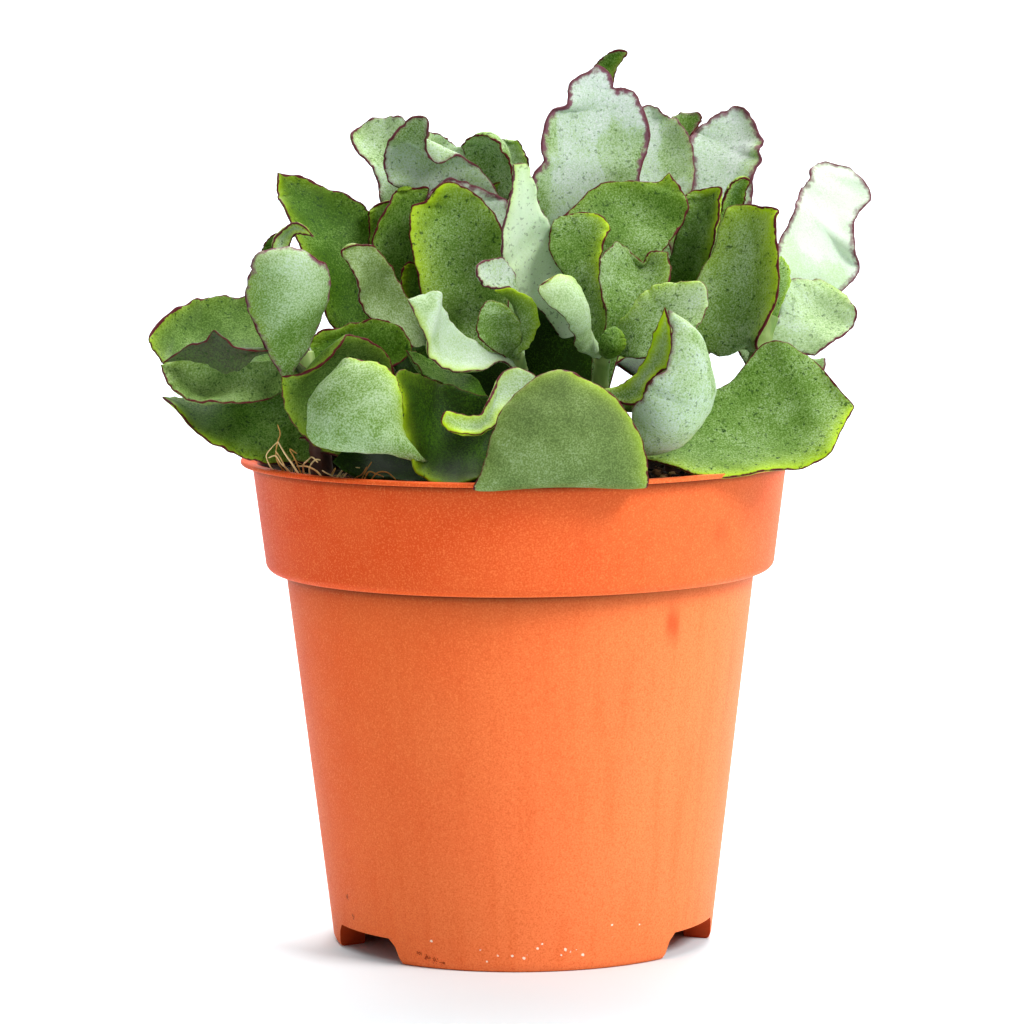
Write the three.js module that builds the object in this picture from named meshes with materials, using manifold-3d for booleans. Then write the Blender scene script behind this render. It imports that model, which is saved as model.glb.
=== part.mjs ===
// Potted curly jade plant, in millimetres, +Z up, the front towards -Y.
// The origin is the middle of the pot's base, on the surface the pot stands on.

import * as THREE from 'three';
import { mergeVertices } from 'three/addons/utils/BufferGeometryUtils.js';
import Module from 'manifold-3d';

// Pot: a plastic nursery pot 120 mm across its lip

const POT_SIDES = 48;
const POT_HEIGHT = 104;
const LIP_RADIUS = 60;
const LIP_HEIGHT = 1.4;
const LIP_WIDTH = 2.2;
const LIP_ROUND = 0.5;
const COLLAR_TOP_RADIUS = 57.5;
const COLLAR_FOOT_RADIUS = 54.9;
const COLLAR_FOOT_Z = 79.6;
const COLLAR_CORNER = 2.2;
const BODY_TOP_RADIUS = 50.6;
const BASE_RADIUS = 41.1;
const WALL = 1.4;
const FOOT_HEIGHT = 5.4;
const FLOOR_THICKNESS = 1.6;
const FOOT_RING_INNER = 38.5;
const FOOT_RING_OUTER = 40.1;
const FOOT_ROUND = 1.2;
const NOTCH_MIDDLES = [-146, -26, 94];
const NOTCH_SPAN = 30;
const NOTCH_DEPTH = 18;
const NOTCH_SLANT = 3.6;
const NOTCH_ROUND = 1.6;
const DRAIN_RADIUS = 3.2;
const DRAIN_RING = 24;
const DRAIN_COUNT = 6;
const DRAIN_SIDES = 12;

// Soil: fills the pot and keeps a small gap to its wall and to the stems

const GAP = 0.35;
const SOIL_RIM_Z = 98.6;
const SOIL_MOUND = 1.6;
const SOIL_ROUGHNESS = 0.7;
const SOIL_RINGS = [0.97, 0.66, 0.33];
const HOLE_SIDES = 12;
const HOLE_TOP = 112;
const STEM_AT_SOIL = 0.3;
const HOLE_PLAY = 0.5;

// Leaves: thickness in the middle and at the margin, and the rows and columns of a blade

const CORE_THICKNESS = 1.9;
const EDGE_THICKNESS = 0.9;
const NECK = 1.9;
const ROWS = [0, 0.18, 0.4, 0.62, 0.83, 1];
const COLUMNS = [-1, -0.55, 0, 0.55, 1];
const PLAIN_COLUMNS = [-1, 0, 1];
// Place of the tip in the loop of nine points round a blade, and the steps along the loop and the
// blade over which its directions are taken
const TIP = 4;
const TIP_REACH = 0.2;
const REACH = 0.02;
// How far the wave of the right margin runs ahead of the left one's, in beats
const WAVE_SHIFT = 0.3;
const STEM_SIDES = 8;
const STEM_STEPS = 5;

// Stems: radius, then the foot in the soil, the bend and the growing tip

const STEMS = {
  left: [2.6, [-41, -27, 92], [-41, -27, 110], [-45, -23, 129]],
  front: [2.4, [-3, -35, 92], [-3, -35, 106], [-5, -30, 116]],
  mid: [2.8, [-17, 5, 92], [-17, 5, 126], [-11, 4, 153]],
  rosea: [2.1, [3, -15, 92], [3, -15, 114], [-0.5, -22, 128]],
  roseb: [2.1, [16, -15, 92], [16, -15, 114], [18, -21, 130]],
  tall: [2.8, [17, 10, 92], [17, 10, 122], [17, 9, 152]],
  rear: [2.6, [34, 12, 92], [34, 12, 122], [37, 13, 146]],
  right: [2.4, [46, -9, 92], [46, -9, 114], [54, -5, 135]],
  nose: [2.6, [17, -34, 92], [17, -34, 106], [20, -40, 119]],
  back_left: [2.6, [-30, 28, 92], [-30, 28, 114], [-33, 33, 135]],
  back_mid: [2.5, [2, 36, 92], [2, 36, 114], [4, 40, 133]],
  back_right: [2.5, [30, 38, 92], [30, 38, 112], [34, 44, 130]],
};

// Leaves: name, stem, place on the stem from 0 to 1, seven points of the margin from the left
// of the base round the tip to the right of the base, hollow of the face at the three points
// of the blade between base and tip, and the margin's wave as height, beats and start

const LEAVES = [
  ["a4", "left", 0.85, [[-56, -27, 126], [-66, -30, 124], [-74, -28, 127], [-77.3, -24, 133],
    [-73, -16, 137], [-66, -10, 140], [-56, -9, 138.5]], [2, 3, 2], [0.8, 3, 0.2]],
  ["a5", "left", 0.8, [[-56, -34, 121.5], [-66, -38, 119], [-73, -38, 123], [-75.5, -33, 127.5],
    [-71, -31, 130.5], [-64, -29, 133.5], [-56, -28, 130]], [2, 4, 2], [0.5, 2, 0.6]],
  ["a2", "left", 0.75, [[-54, -33, 133], [-57.3, -38, 142], [-54.5, -42, 149.5], [-48, -42, 151.6],
    [-42, -37, 149.5], [-39.5, -31, 142], [-43, -27, 132]], [-2, -4, -3], [0.4, 4, 0]],
  ["a3", "left", 0.95, [[-50, -16, 138], [-54, -14, 147], [-52, -12, 154], [-47, -12, 157.5],
    [-44, -14, 154.5], [-47, -15, 148], [-45, -16, 138]], [1, 2, 1], [0, 1, 0]],
  ["a6", "left", 0.42, [[-54, -32, 107.8], [-62, -31, 109.5], [-69, -27, 114], [-75, -23, 119.8],
    [-67, -15, 119.5], [-60, -13, 120], [-51, -16, 119.5]], [1, 3, 2], [0.5, 2, 0.3]],
  ["g2", "left", 0.5, [[-46, -36, 113], [-49.5, -38, 119], [-49.5, -40, 125], [-43, -43, 127],
    [-37, -44, 132.5], [-30, -39, 128], [-32, -34, 118]], [2, 3, 2], [0.5, 2, 0.3]],
  ["g3", "left", 0.7, [[-44, -22, 127], [-43, -21, 131], [-41, -20, 134.5], [-36, -19, 135.6],
    [-30, -20, 136.3], [-25, -22, 133], [-32, -24, 125]], [1, 2, 1], [0.4, 2, 0.3]],
  ["g1", "front", 0.45, [[-15, -51, 104.2], [-27, -53, 108.5], [-41, -50, 111.5], [-43.6, -48, 119],
    [-36.5, -45, 129.5], [-27, -42, 126], [-16, -38, 113]], [-3, -5, -3], [0.3, 2, 0]],
  ["h1", "front", 0.7, [[-12, -46, 108], [-19, -49, 109], [-25, -47, 112], [-27, -42, 117],
    [-22, -36, 123], [-15, -32, 122], [-9, -30, 119]], [2, 3, 2], [0.5, 2, 0.3]],
  ["h2", "front", 0.95, [[-12, -32, 121], [-17, -33, 123], [-22, -33, 127], [-24.5, -30, 131.5],
    [-21, -27, 131], [-16, -25, 127.5], [-10, -25, 124]], [1, 1, 1], [0.3, 2, 0.3]],
  ["f2", "front", 0.9, [[-8, -43, 114], [-10, -51, 113.8], [-14, -53, 114.3], [-16.2, -52, 117],
    [-10, -47, 118], [-6, -44, 122.5], [-2, -40, 127]], [1, 2, 1], [0, 1, 0]],
  ["f1", "nose", 0.78, [[-8.5, -61, 105.6], [-5.5, -60, 115], [1.5, -57, 124.5], [9, -55, 127.5],
    [18.5, -56, 122.5], [24.5, -58, 113], [26.5, -58.5, 105.6]], [-3, -3, -2], [0, 1, 0]],
  ["e5", "nose", 0.85, [[25, -50, 118], [31, -52, 124], [32, -51, 131], [30.8, -48, 137.3],
    [35.5, -44, 131.5], [39.5, -40, 121], [34, -43, 110]], [-4, -6, -3], [0.3, 2, 0.2]],
  ["e6", "nose", 0.98, [[22.5, -38, 121], [26.3, -39, 125], [28.6, -41, 131.5], [30.3, -44, 137.5],
    [32.5, -44, 131], [32, -42, 124], [27, -42, 118.5]], [1, 1, 1], [0, 1, 0]],
  ["e4", "nose", 0.5, [[40, -24, 119.5], [50, -20, 129.3], [61.5, -22, 126.8], [69, -28, 117.5],
    [65, -37, 108.3], [51.5, -40, 105.6], [37.5, -44, 105.6]], [3, 5, 3], [0.4, 2, 0.1]],
  ["c4", "rosea", 0.9, [[-8, -34, 126], [-16, -39, 127.3], [-20.5, -40, 134], [-23.4, -38, 141],
    [-16.6, -35, 142.4], [-13.5, -32, 135.5], [-7, -29, 131.5]], [1, 2, 0], [0.3, 2, 0.3]],
  ["c5", "rosea", 0.97, [[0, -20, 131], [0.8, -20, 135], [-1, -21, 138.7], [-5.5, -25, 141.6],
    [0.5, -29, 141.2], [4, -29, 137.5], [4.2, -27, 132.5]], [-1, -2, -1], [0, 1, 0]],
  ["c6", "rosea", 0.97, [[-5, -28, 129.5], [-8.6, -30, 132], [-8.8, -31, 136], [-6.7, -29, 139.8],
    [-2.5, -28, 137.5], [0.2, -27, 133.5], [-0.2, -25, 129.5]], [1.5, 2.5, 1], [0, 1, 0]],
  ["c7", "rosea", 0.85, [[-2, -16, 136], [-4, -17, 142], [-7, -21, 142.3], [-8.9, -22, 145],
    [-6.5, -17, 147.6], [-3, -13, 148], [1, -12, 140]], [1, 1, 1], [0, 1, 0]],
  ["c2", "rosea", 0.62, [[-19, -9, 138], [-23, -9, 150], [-22, -6, 159.5], [-15, -5, 164.4],
    [-7.5, -5, 160.3], [-2.5, -6, 152], [-2, -9, 138]], [2, 4, 2], [0.4, 3, 0.4]],
  ["d7", "roseb", 0.9, [[12.5, -14, 141], [8, -11, 150], [9.5, -8, 156], [15.5, -8, 157.3],
    [19, -12, 154.3], [16.2, -17, 146], [17.5, -19, 138]], [1, 2, 1], [0.2, 2, 0]],
  ["d8", "roseb", 0.95, [[17.5, -21, 139], [17.7, -20, 147], [21.5, -15, 151], [26, -14, 148],
    [31, -16, 149.4], [32, -19, 144], [26, -21, 137.5]], [1, 2.5, 1], [0.5, 2, 0.4]],
  ["d9", "roseb", 0.93, [[12, -29, 131], [10.5, -34, 135], [6, -36, 139.8], [3.8, -34, 141.6],
    [8, -31, 144.4], [13.6, -29, 140.5], [14.5, -25, 134]], [-1, -3, -1], [0.2, 2, 0.4]],
  ["d10", "roseb", 0.97, [[24, -25, 137.5], [30, -26, 142.3], [36.5, -27, 142.8], [39.7, -30, 138.5],
    [37.5, -34, 133], [31, -35, 129.3], [25, -31, 128.3]], [1, 3, 1], [0.3, 2, 0.4]],
  ["d11", "roseb", 0.97, [[17, -25, 129.5], [16.8, -27, 131.5], [18, -28, 133.5], [20, -28, 134.3],
    [22, -28, 132.5], [22.4, -28, 130.8], [21.5, -27, 129.3]], [-1.2, -1.6, -1], [0, 1, 0]],
  ["d6", "roseb", 0.7, [[14, -9, 146], [11, -6, 156], [17, -1, 163], [26, 0, 163.8],
    [33, -1, 164], [35.7, -5, 158], [30, -9, 146]], [2, 4, 2], [0.8, 3, 0.4]],
  ["c8", "tall", 0.45, [[0, -8, 142], [-3.8, -13, 150], [-2.3, -15, 160], [0, -15, 168.2],
    [3, -12, 162], [6, -9, 154], [9.5, -5, 146]], [1, 2, 1], [0.2, 3, 0.4]],
  ["d1", "tall", 0.8, [[3, 0, 163], [5.2, 1, 173], [9.7, 4, 182], [18, 8, 189.3],
    [24.5, 9, 183], [28.2, 8, 173], [25, 7, 163]], [2, 4, 2], [1.1, 4, 0.4]],
  ["d2", "tall", 0.95, [[15, 11, 176], [16, 12, 184], [17.5, 12, 189.8], [22.6, 10, 191.3],
    [20.3, 12, 187.5], [20, 13, 183], [19, 12, 175]], [0.5, 0.5, 0.5], [0, 1, 0]],
  ["d3", "tall", 0.75, [[24, 14, 160], [24.5, 19, 170], [26, 23, 178], [29, 24, 180.2],
    [34, 22, 177.2], [37.6, 17, 170], [36, 13, 160]], [2, 3, 2], [0.5, 3, 0.4]],
  ["d12", "rear", 0.75, [[32, 4, 150], [34, 2, 156], [36.5, 2, 161.8], [40, 1, 162.6],
    [43.4, -3, 160.5], [42, -3, 153], [39, 1, 146]], [2, 3, 2], [0.2, 2, 0.2]],
  ["d4", "rear", 0.95, [[37.6, 22, 158], [38.3, 26, 168], [39.5, 30, 174.5], [47.3, 31, 179.8],
    [52.5, 28, 176], [54.2, 22, 169], [50, 18, 158]], [2, 3, 2], [0.6, 4, 0.3]],
  ["d5", "rear", 0.9, [[32, 24, 156], [31, 30, 166], [32.5, 34, 174], [36.4, 36, 178],
    [40.9, 34, 176.6], [40.4, 31, 168], [38, 25, 156]], [1, 2, 1], [0.6, 3, 0.3]],
  ["d13", "rear", 0.85, [[43, 8, 152], [43.6, 5, 160], [45.5, 3, 163.3], [48.5, 3, 164.2],
    [49.5, 5, 161.5], [50, 8, 156], [47, 10, 150]], [1, 2, 1], [0.2, 2, 0.3]],
  ["e1", "right", 0.8, [[37.5, -8, 141], [41, -6, 149], [44.8, -6, 158], [50, -9, 159.8],
    [54.6, -15, 157.3], [55, -18, 143], [49, -16, 129.5]], [2, 4, 2], [0.4, 2, 0.4]],
  ["e2", "right", 0.95, [[57, 6, 150], [60, 14, 160], [64, 22, 167], [71.5, 25, 166.3],
    [77.4, 19, 159.8], [72.8, 14, 152.5], [74, 8, 144]], [1, 2, 2], [0.6, 3, 0.3]],
  ["e3", "right", 0.9, [[55.5, -3, 138], [58, 2, 143], [64, 5, 143.4], [69.5, 3, 140.5],
    [72.4, -3, 135.3], [67.5, -8, 129.5], [60, -8, 127.5]], [1, 3, 1], [0.5, 2, 0.3]],
  ["e7", "right", 0.97, [[54.2, -8, 139], [54, -10, 143], [54.5, -10, 146.5], [56, -9, 148],
    [57.7, -8, 145.5], [58, -7, 142], [56.5, -6, 138]], [0.5, 0.5, 0.5], [0, 1, 0]],
  ["a1", "mid", 0.5, [[-40, -8, 134], [-47, -8, 148], [-51, -3, 158], [-52.4, 3, 166],
    [-44, 6, 164], [-34, 6, 158.7], [-24, 6, 146]], [2, 3, 2], [0.5, 3, 0.4]],
  ["c3", "mid", 0.35, [[-22, -15, 133], [-31, -19, 136], [-35, -22, 143], [-36.5, -22, 150.3],
    [-31, -20, 150.6], [-26.5, -16, 145], [-20, -11, 138]], [1, 2, 1], [0.3, 3, 0.4]],
  ["c1", "mid", 0.6, [[-29, -3, 140], [-31, -4, 151], [-29, -3, 158], [-24, -1, 163],
    [-19, 1, 162], [-18, 2, 152], [-17, 0, 140]], [1, 2, 1], [0.3, 3, 0.4]],
  ["c9", "mid", 0.7, [[-18, 1, 148], [-20.3, -1, 158], [-15, 0, 165], [-6, 2, 163],
    [-2.3, 3, 160.3], [-1.5, 3, 153], [-5, 2, 145]], [1, 2, 1], [0.3, 3, 0.4]],
  ["b1", "mid", 0.85, [[-30.5, 12, 158], [-33, 17, 168], [-36, 21, 174.5], [-29.5, 25, 178],
    [-23, 23, 177], [-19, 17, 168], [-18, 12, 156]], [2, 3, 2], [0.6, 3, 0.4]],
  ["b2", "mid", 0.95, [[-24, 3, 160], [-28.8, -1, 168], [-26.5, -5, 174.5], [-19.5, -7, 178],
    [-17, -4, 172], [-10, 1, 168.5], [-4.5, 5, 164]], [2, 4, 2], [0.6, 3, 0.4]],
  ["b3", "mid", 0.97, [[-15, 2, 163], [-18.5, 0, 169], [-19.5, 3, 173.8], [-16, 8, 174.3],
    [-12.5, 10, 171.5], [-10, 8, 168], [-8, 7, 160]], [1, 2, 1], [0.4, 3, 0.4]],
  ["b4", "mid", 0.98, [[-12, 6, 162], [-12.5, 9, 170.5], [-9.7, 6, 173.6], [-6, 0, 174.2],
    [-2.5, -1, 170.3], [-1.2, 2, 165.5], [-4, 6, 158]], [2, 4, 2], [0, 3, 0.4]],
  ["b5", "mid", 0.96, [[-5, 12, 160], [-5, 16, 168], [-4, 18, 172.6], [-1, 18, 173.9],
    [1.9, 16, 171], [2.3, 13, 166], [1, 10, 158]], [1, 2, 1], [0.3, 3, 0.4]],
];

// Plain leaves, on the side turned away from the front: name, stem, place on the stem, heading
// and rise in degrees, length, width, roll in degrees and sag of the tip

const PLAIN_LEAVES = [
  ["p01", "back_left", 0.4, 188, 15, 35, 24, 0, 2],
  ["p02", "back_left", 0.45, 20, 25, 19, 17, 0, 2],
  ["p03", "back_left", 0.62, 100, 25, 31, 25, 10, 4],
  ["p04", "back_left", 0.65, 275, 20, 18, 16, 0, 2],
  ["p05", "back_left", 0.84, 150, 40, 32, 23, -10, 3],
  ["p06", "back_left", 0.86, 330, 48, 20, 15, 0, 0],
  ["p07", "back_left", 0.97, 60, 60, 24, 17, 0, 0],
  ["p08", "back_left", 0.97, 240, 60, 18, 13, 0, 0],
  ["p09", "back_mid", 0.4, 78, 14, 28.5, 22, 0, 3],
  ["p10", "back_mid", 0.45, 250, 12, 24, 18, 0, 1],
  ["p11", "back_mid", 0.64, 160, 25, 28, 22, -8, 2],
  ["p12", "back_mid", 0.66, 335, 28, 21, 16, 0, 2],
  ["p13", "back_mid", 0.84, 105, 45, 30, 23, 0, 3],
  ["p14", "back_mid", 0.86, 285, 55, 20, 15, 0, 0],
  ["p15", "back_mid", 0.97, 30, 62, 24, 16, 0, 0],
  ["p16", "back_mid", 0.97, 205, 60, 17, 12, 0, 0],
  ["p17", "back_right", 0.4, 62, 14, 24, 21, 0, 3],
  ["p18", "back_right", 0.48, 325, 8, 30, 20, 0, 2],
  ["p19", "back_right", 0.66, 125, 30, 25, 20, 8, 2],
  ["p20", "back_right", 0.84, 355, 38, 32, 22, 0, 3],
  ["p21", "back_right", 0.86, 190, 50, 17, 13, 0, 0],
  ["p22", "back_right", 0.97, 85, 58, 26, 19, 0, 1],
  ["p23", "back_right", 0.97, 265, 62, 17, 12, 0, 0],
  ["p24", "mid", 0.25, 165, 12, 28, 20, 0, 2],
  ["p25", "mid", 0.3, 345, 10, 18, 15, 0, 1],
  ["p26", "left", 0.62, 150, 20, 30, 20, 0, 3],
  ["p27", "right", 0.4, 10, 12, 27, 18, 0, 2],
  ["p28", "right", 0.75, 80, 35, 24, 17, 0, 2],
  ["p29", "rear", 0.3, 350, 12, 20, 15, 0, 2],
  ["p30", "tall", 0.25, 200, 15, 20, 16, 0, 1],
  ["p31", "rosea", 0.3, 215, 8, 18, 13, 0, 1],
  ["p32", "rosea", 0.45, 30, 15, 13, 11, 0, 1],
  ["p33", "roseb", 0.6, 330, 20, 17, 13, 0, 1],
  ["p34", "tall", 0.5, 75, 35, 24, 17, 0, 2],
  ["p35", "tall", 0.65, 130, 45, 28, 19, 0, 3],
  ["p36", "mid", 0.5, 165, 40, 24, 18, 0, 2],
  ["p37", "mid", 0.65, 70, 40, 26, 19, 0, 2],
  ["p38", "rear", 0.5, 20, 30, 26, 18, 0, 2],
  ["p39", "rear", 0.6, 75, 45, 28, 20, 0, 3],
  ["p40", "mid", 0.8, 100, 50, 26, 18, 0, 2],
  ["p41", "tall", 0.9, 90, 55, 30, 20, 0, 3],
  ["p42", "left", 0.5, 95, 15, 16, 14, 0, 1],
  ["p43", "right", 0.55, 55, 25, 26, 19, 0, 2],
  ["p44", "rear", 0.8, 110, 45, 26, 18, 0, 2],
  ["p45", "mid", 0.95, 125, 60, 26, 18, 0, 3],
  ["p46", "tall", 0.38, 335, 12, 16, 13, 0, 1],
  ["p47", "back_right", 0.75, 50, 40, 26, 19, 0, 2],
];

// Margin points of a plain leaf: share of the length and of half the width; its hollow and wave
const PLAIN_OUTLINE = [[0.34, 0.7], [0.64, 1], [0.9, 0.74]];
const PLAIN_HOLLOW = [1.2, 2, 1];
const PLAIN_WAVE = 1.1;
const PLAIN_BEATS = 2;
const PLAIN_START = 0.37;

const wasm = await Module();
wasm.setup();

// A solid for joining and cutting, from a closed geometry
function solidOf(geometry) {
  const bare = geometry.clone();
  bare.deleteAttribute('normal');
  bare.deleteAttribute('uv');
  const welded = mergeVertices(bare, 1e-4);
  return new wasm.Manifold(new wasm.Mesh({
    numProp: 3,
    vertProperties: new Float32Array(welded.attributes.position.array),
    triVerts: new Uint32Array(welded.index.array),
  }));
}

// The geometry of a finished solid, with flat faces
function geometryOf(solid) {
  const mesh = solid.getMesh();
  const geometry = new THREE.BufferGeometry();
  const count = mesh.vertProperties.length / mesh.numProp;
  const positions = new Float32Array(count * 3);
  for (let i = 0; i < count; i += 1) {
    for (let k = 0; k < 3; k += 1) {
      positions[i * 3 + k] = mesh.vertProperties[i * mesh.numProp + k];
    }
  }
  geometry.setAttribute('position', new THREE.BufferAttribute(positions, 3));
  geometry.setIndex(new THREE.BufferAttribute(new Uint32Array(mesh.triVerts), 1));
  const flat = geometry.toNonIndexed();
  flat.computeVertexNormals();
  return flat;
}

function lathe(profile, sides) {
  const points = profile.map(([r, z]) => new THREE.Vector2(r, z));
  const geometry = new THREE.LatheGeometry(points, sides);
  geometry.rotateX(Math.PI / 2);
  return geometry;
}

function cylinder(x, y, low, high, radius, sides) {
  const geometry = new THREE.CylinderGeometry(radius, radius, high - low, sides);
  geometry.rotateX(Math.PI / 2);
  geometry.translate(x, y, (low + high) / 2);
  return solidOf(geometry);
}

// Point at t on the smooth line through evenly spaced points
function through(points, t) {
  const last = points.length - 1;
  const i = Math.min(Math.floor(t), last - 1);
  const f = t - i;
  const before = i > 0 ? points[i - 1] : points[0].clone().multiplyScalar(2).sub(points[1]);
  const after = i + 2 <= last ? points[i + 2] : points[last].clone().multiplyScalar(2).sub(points[last - 1]);
  const from = points[i + 1].clone().sub(before).multiplyScalar(0.5);
  const onto = after.clone().sub(points[i]).multiplyScalar(0.5);
  return points[i].clone().multiplyScalar((1 + 2 * f) * (1 - f) ** 2)
    .addScaledVector(from, f * (1 - f) ** 2)
    .addScaledVector(points[i + 1], f * f * (3 - 2 * f))
    .addScaledVector(onto, f * f * (f - 1));
}

const vector = ([x, y, z]) => new THREE.Vector3(x, y, z);

function stemCurve(name) {
  const [, foot, bend, top] = STEMS[name];
  return new THREE.QuadraticBezierCurve3(vector(foot), vector(bend), vector(top));
}

// Margin points of a plain leaf that leaves the stem at base
function plainMargin(base, heading, rise, length, width, roll, sag) {
  const turn = THREE.MathUtils.degToRad(heading);
  const lift = THREE.MathUtils.degToRad(rise);
  const lean = THREE.MathUtils.degToRad(roll);
  const along = vector([Math.cos(turn) * Math.cos(lift), Math.sin(turn) * Math.cos(lift), Math.sin(lift)]);
  const level = vector([Math.sin(turn), -Math.cos(turn), 0]);
  const right = level.clone().multiplyScalar(Math.cos(lean))
    .addScaledVector(level.clone().cross(along), Math.sin(lean));
  const place = (share, side) => base.clone().addScaledVector(along, share * length)
    .addScaledVector(right, side * width / 2)
    .add(vector([0, 0, -sag * share * share]));
  const left = PLAIN_OUTLINE.map(([share, half]) => place(share, -half));
  const back = PLAIN_OUTLINE.map(([share, half]) => place(share, half)).reverse();
  return [...left, place(1, 0), ...back].map((p) => p.toArray());
}

// Grid of points on the middle surface of a leaf
function bladeGrid(base, margin, hollow, wave, columns) {
  const points = margin.map(vector);
  const across = points[6].clone().sub(points[0]).normalize();
  const loop = [
    base.clone().addScaledVector(across, -NECK), ...points, base.clone().addScaledVector(across, NECK),
  ];
  const leftAt = (u) => through(loop, TIP * u);
  const rightAt = (u) => through(loop, TIP * (2 - u));
  const dips = [0, ...hollow, 0].map((dip) => new THREE.Vector3(dip, 0, 0));
  const [height, beats, start] = wave;
  return ROWS.map((u) => {
    const left = leftAt(u);
    const right = rightAt(u);
    const ahead = Math.min(u + REACH, 1);
    const behind = Math.max(ahead - 2 * REACH, 0);
    const along = leftAt(ahead).add(rightAt(ahead)).sub(leftAt(behind)).sub(rightAt(behind));
    const chord = u < 1
      ? right.clone().sub(left)
      : through(loop, TIP + TIP_REACH).sub(through(loop, TIP - TIP_REACH));
    const up = chord.clone().cross(along).normalize();
    const centre = left.clone().add(right).multiplyScalar(0.5);
    const middle = centre.clone().addScaledVector(up, -through(dips, 4 * u).x);
    return columns.map((v) => {
      const side = v > 0 ? WAVE_SHIFT : 0;
      const lift = height * v * v * Math.min(1, 4 * u) * (1 - u ** 4)
        * Math.sin(2 * Math.PI * (beats * u + start + side));
      return middle.clone().addScaledVector(right.clone().sub(left), v / 2)
        .addScaledVector(centre.clone().sub(middle), v * v)
        .addScaledVector(up, lift);
    });
  });
}

// A leaf as a closed body: two faces alike, the margin between them and the cut end in the stem
function leafSolid(base, margin, hollow, wave, spread) {
  const grid = bladeGrid(base, margin, hollow, wave, spread);
  const rows = ROWS.length - 1;
  const columns = spread.length - 1;
  const positions = [];
  const faceNormal = (i, j) => {
    const row = Math.min(i, rows - 1);
    const down = grid[Math.max(row - 1, 0)][j];
    const along = grid[row + 1][j].clone().sub(down);
    const across = grid[row][Math.min(j + 1, columns)].clone().sub(grid[row][Math.max(j - 1, 0)]);
    return across.cross(along).normalize();
  };
  for (const sign of [1, -1]) {
    for (let i = 0; i <= rows; i += 1) {
      for (let j = 0; j <= (i === rows ? 0 : columns); j += 1) {
        const v = spread[j];
        const thin = i === rows ? 1 : Math.max(v * v, ROWS[i] ** 3);
        const half = (CORE_THICKNESS + (EDGE_THICKNESS - CORE_THICKNESS) * thin) / 2;
        const column = i === rows ? columns / 2 : j;
        const p = grid[i][column].clone().addScaledVector(faceNormal(i, column), sign * half);
        positions.push(p.x, p.y, p.z);
      }
    }
  }
  const stride = columns + 1;
  const side = rows * stride + 1;
  const upper = (i, j) => (i === rows ? rows * stride : i * stride + j);
  const lower = (i, j) => upper(i, j) + side;
  const triangles = [];
  const quad = (a, b, c, d) => {
    if (a !== b) {
      triangles.push(a, b, c);
    }
    if (c !== d) {
      triangles.push(a, c, d);
    }
  };
  for (let i = 0; i < rows; i += 1) {
    for (let j = 0; j < columns; j += 1) {
      quad(upper(i, j), upper(i, j + 1), upper(i + 1, j + 1), upper(i + 1, j));
      if (i < rows - 1) {
        triangles.push(lower(i, j), lower(i + 1, j + 1), lower(i, j + 1));
        triangles.push(lower(i, j), lower(i + 1, j), lower(i + 1, j + 1));
      } else {
        triangles.push(lower(i, j), lower(i + 1, j), lower(i, j + 1));
      }
    }
    quad(upper(i, 0), upper(i + 1, 0), lower(i + 1, 0), lower(i, 0));
    quad(upper(i, columns), lower(i, columns), lower(i + 1, columns), upper(i + 1, columns));
  }
  for (let j = 0; j < columns; j += 1) {
    quad(upper(0, j), lower(0, j), lower(0, j + 1), upper(0, j + 1));
  }
  return new wasm.Manifold(new wasm.Mesh({
    numProp: 3,
    vertProperties: new Float32Array(positions),
    triVerts: new Uint32Array(triangles),
  }));
}

function stemSolid(name) {
  const [radius] = STEMS[name];
  const outline = new THREE.Shape();
  for (let i = 0; i < STEM_SIDES; i += 1) {
    const angle = (2 * Math.PI * i) / STEM_SIDES;
    const point = [radius * Math.cos(angle), radius * Math.sin(angle)];
    if (i === 0) {
      outline.moveTo(...point);
    } else {
      outline.lineTo(...point);
    }
  }
  outline.closePath();
  return solidOf(new THREE.ExtrudeGeometry(outline, {
    steps: STEM_STEPS, bevelEnabled: false, extrudePath: stemCurve(name),
  }));
}

function leafyStem(name) {
  let solid = stemSolid(name);
  const curve = stemCurve(name);
  for (const [, stem, at, margin, hollow, wave] of LEAVES) {
    if (stem === name) {
      solid = solid.add(leafSolid(curve.getPoint(at), margin, hollow, wave, COLUMNS));
    }
  }
  PLAIN_LEAVES.forEach(([, stem, at, ...form], index) => {
    if (stem === name) {
      const base = curve.getPoint(at);
      const wave = [PLAIN_WAVE, PLAIN_BEATS, (index * PLAIN_START) % 1];
      const margin = plainMargin(base, ...form);
      solid = solid.add(leafSolid(base, margin, PLAIN_HOLLOW, wave, PLAIN_COLUMNS));
    }
  });
  return solid;
}

// Inner radius of the pot's body and of its collar at a height
function bodyInner(z) {
  const share = (z - FOOT_ROUND) / (COLLAR_FOOT_Z - LIP_ROUND - FOOT_ROUND);
  return BASE_RADIUS + share * (BODY_TOP_RADIUS - BASE_RADIUS) - WALL;
}

function collarInner(z) {
  const low = COLLAR_FOOT_Z + COLLAR_CORNER;
  const share = (z - low) / (POT_HEIGHT - LIP_HEIGHT - LIP_ROUND - low);
  return COLLAR_FOOT_RADIUS + share * (COLLAR_TOP_RADIUS - COLLAR_FOOT_RADIUS) - WALL;
}

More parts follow.
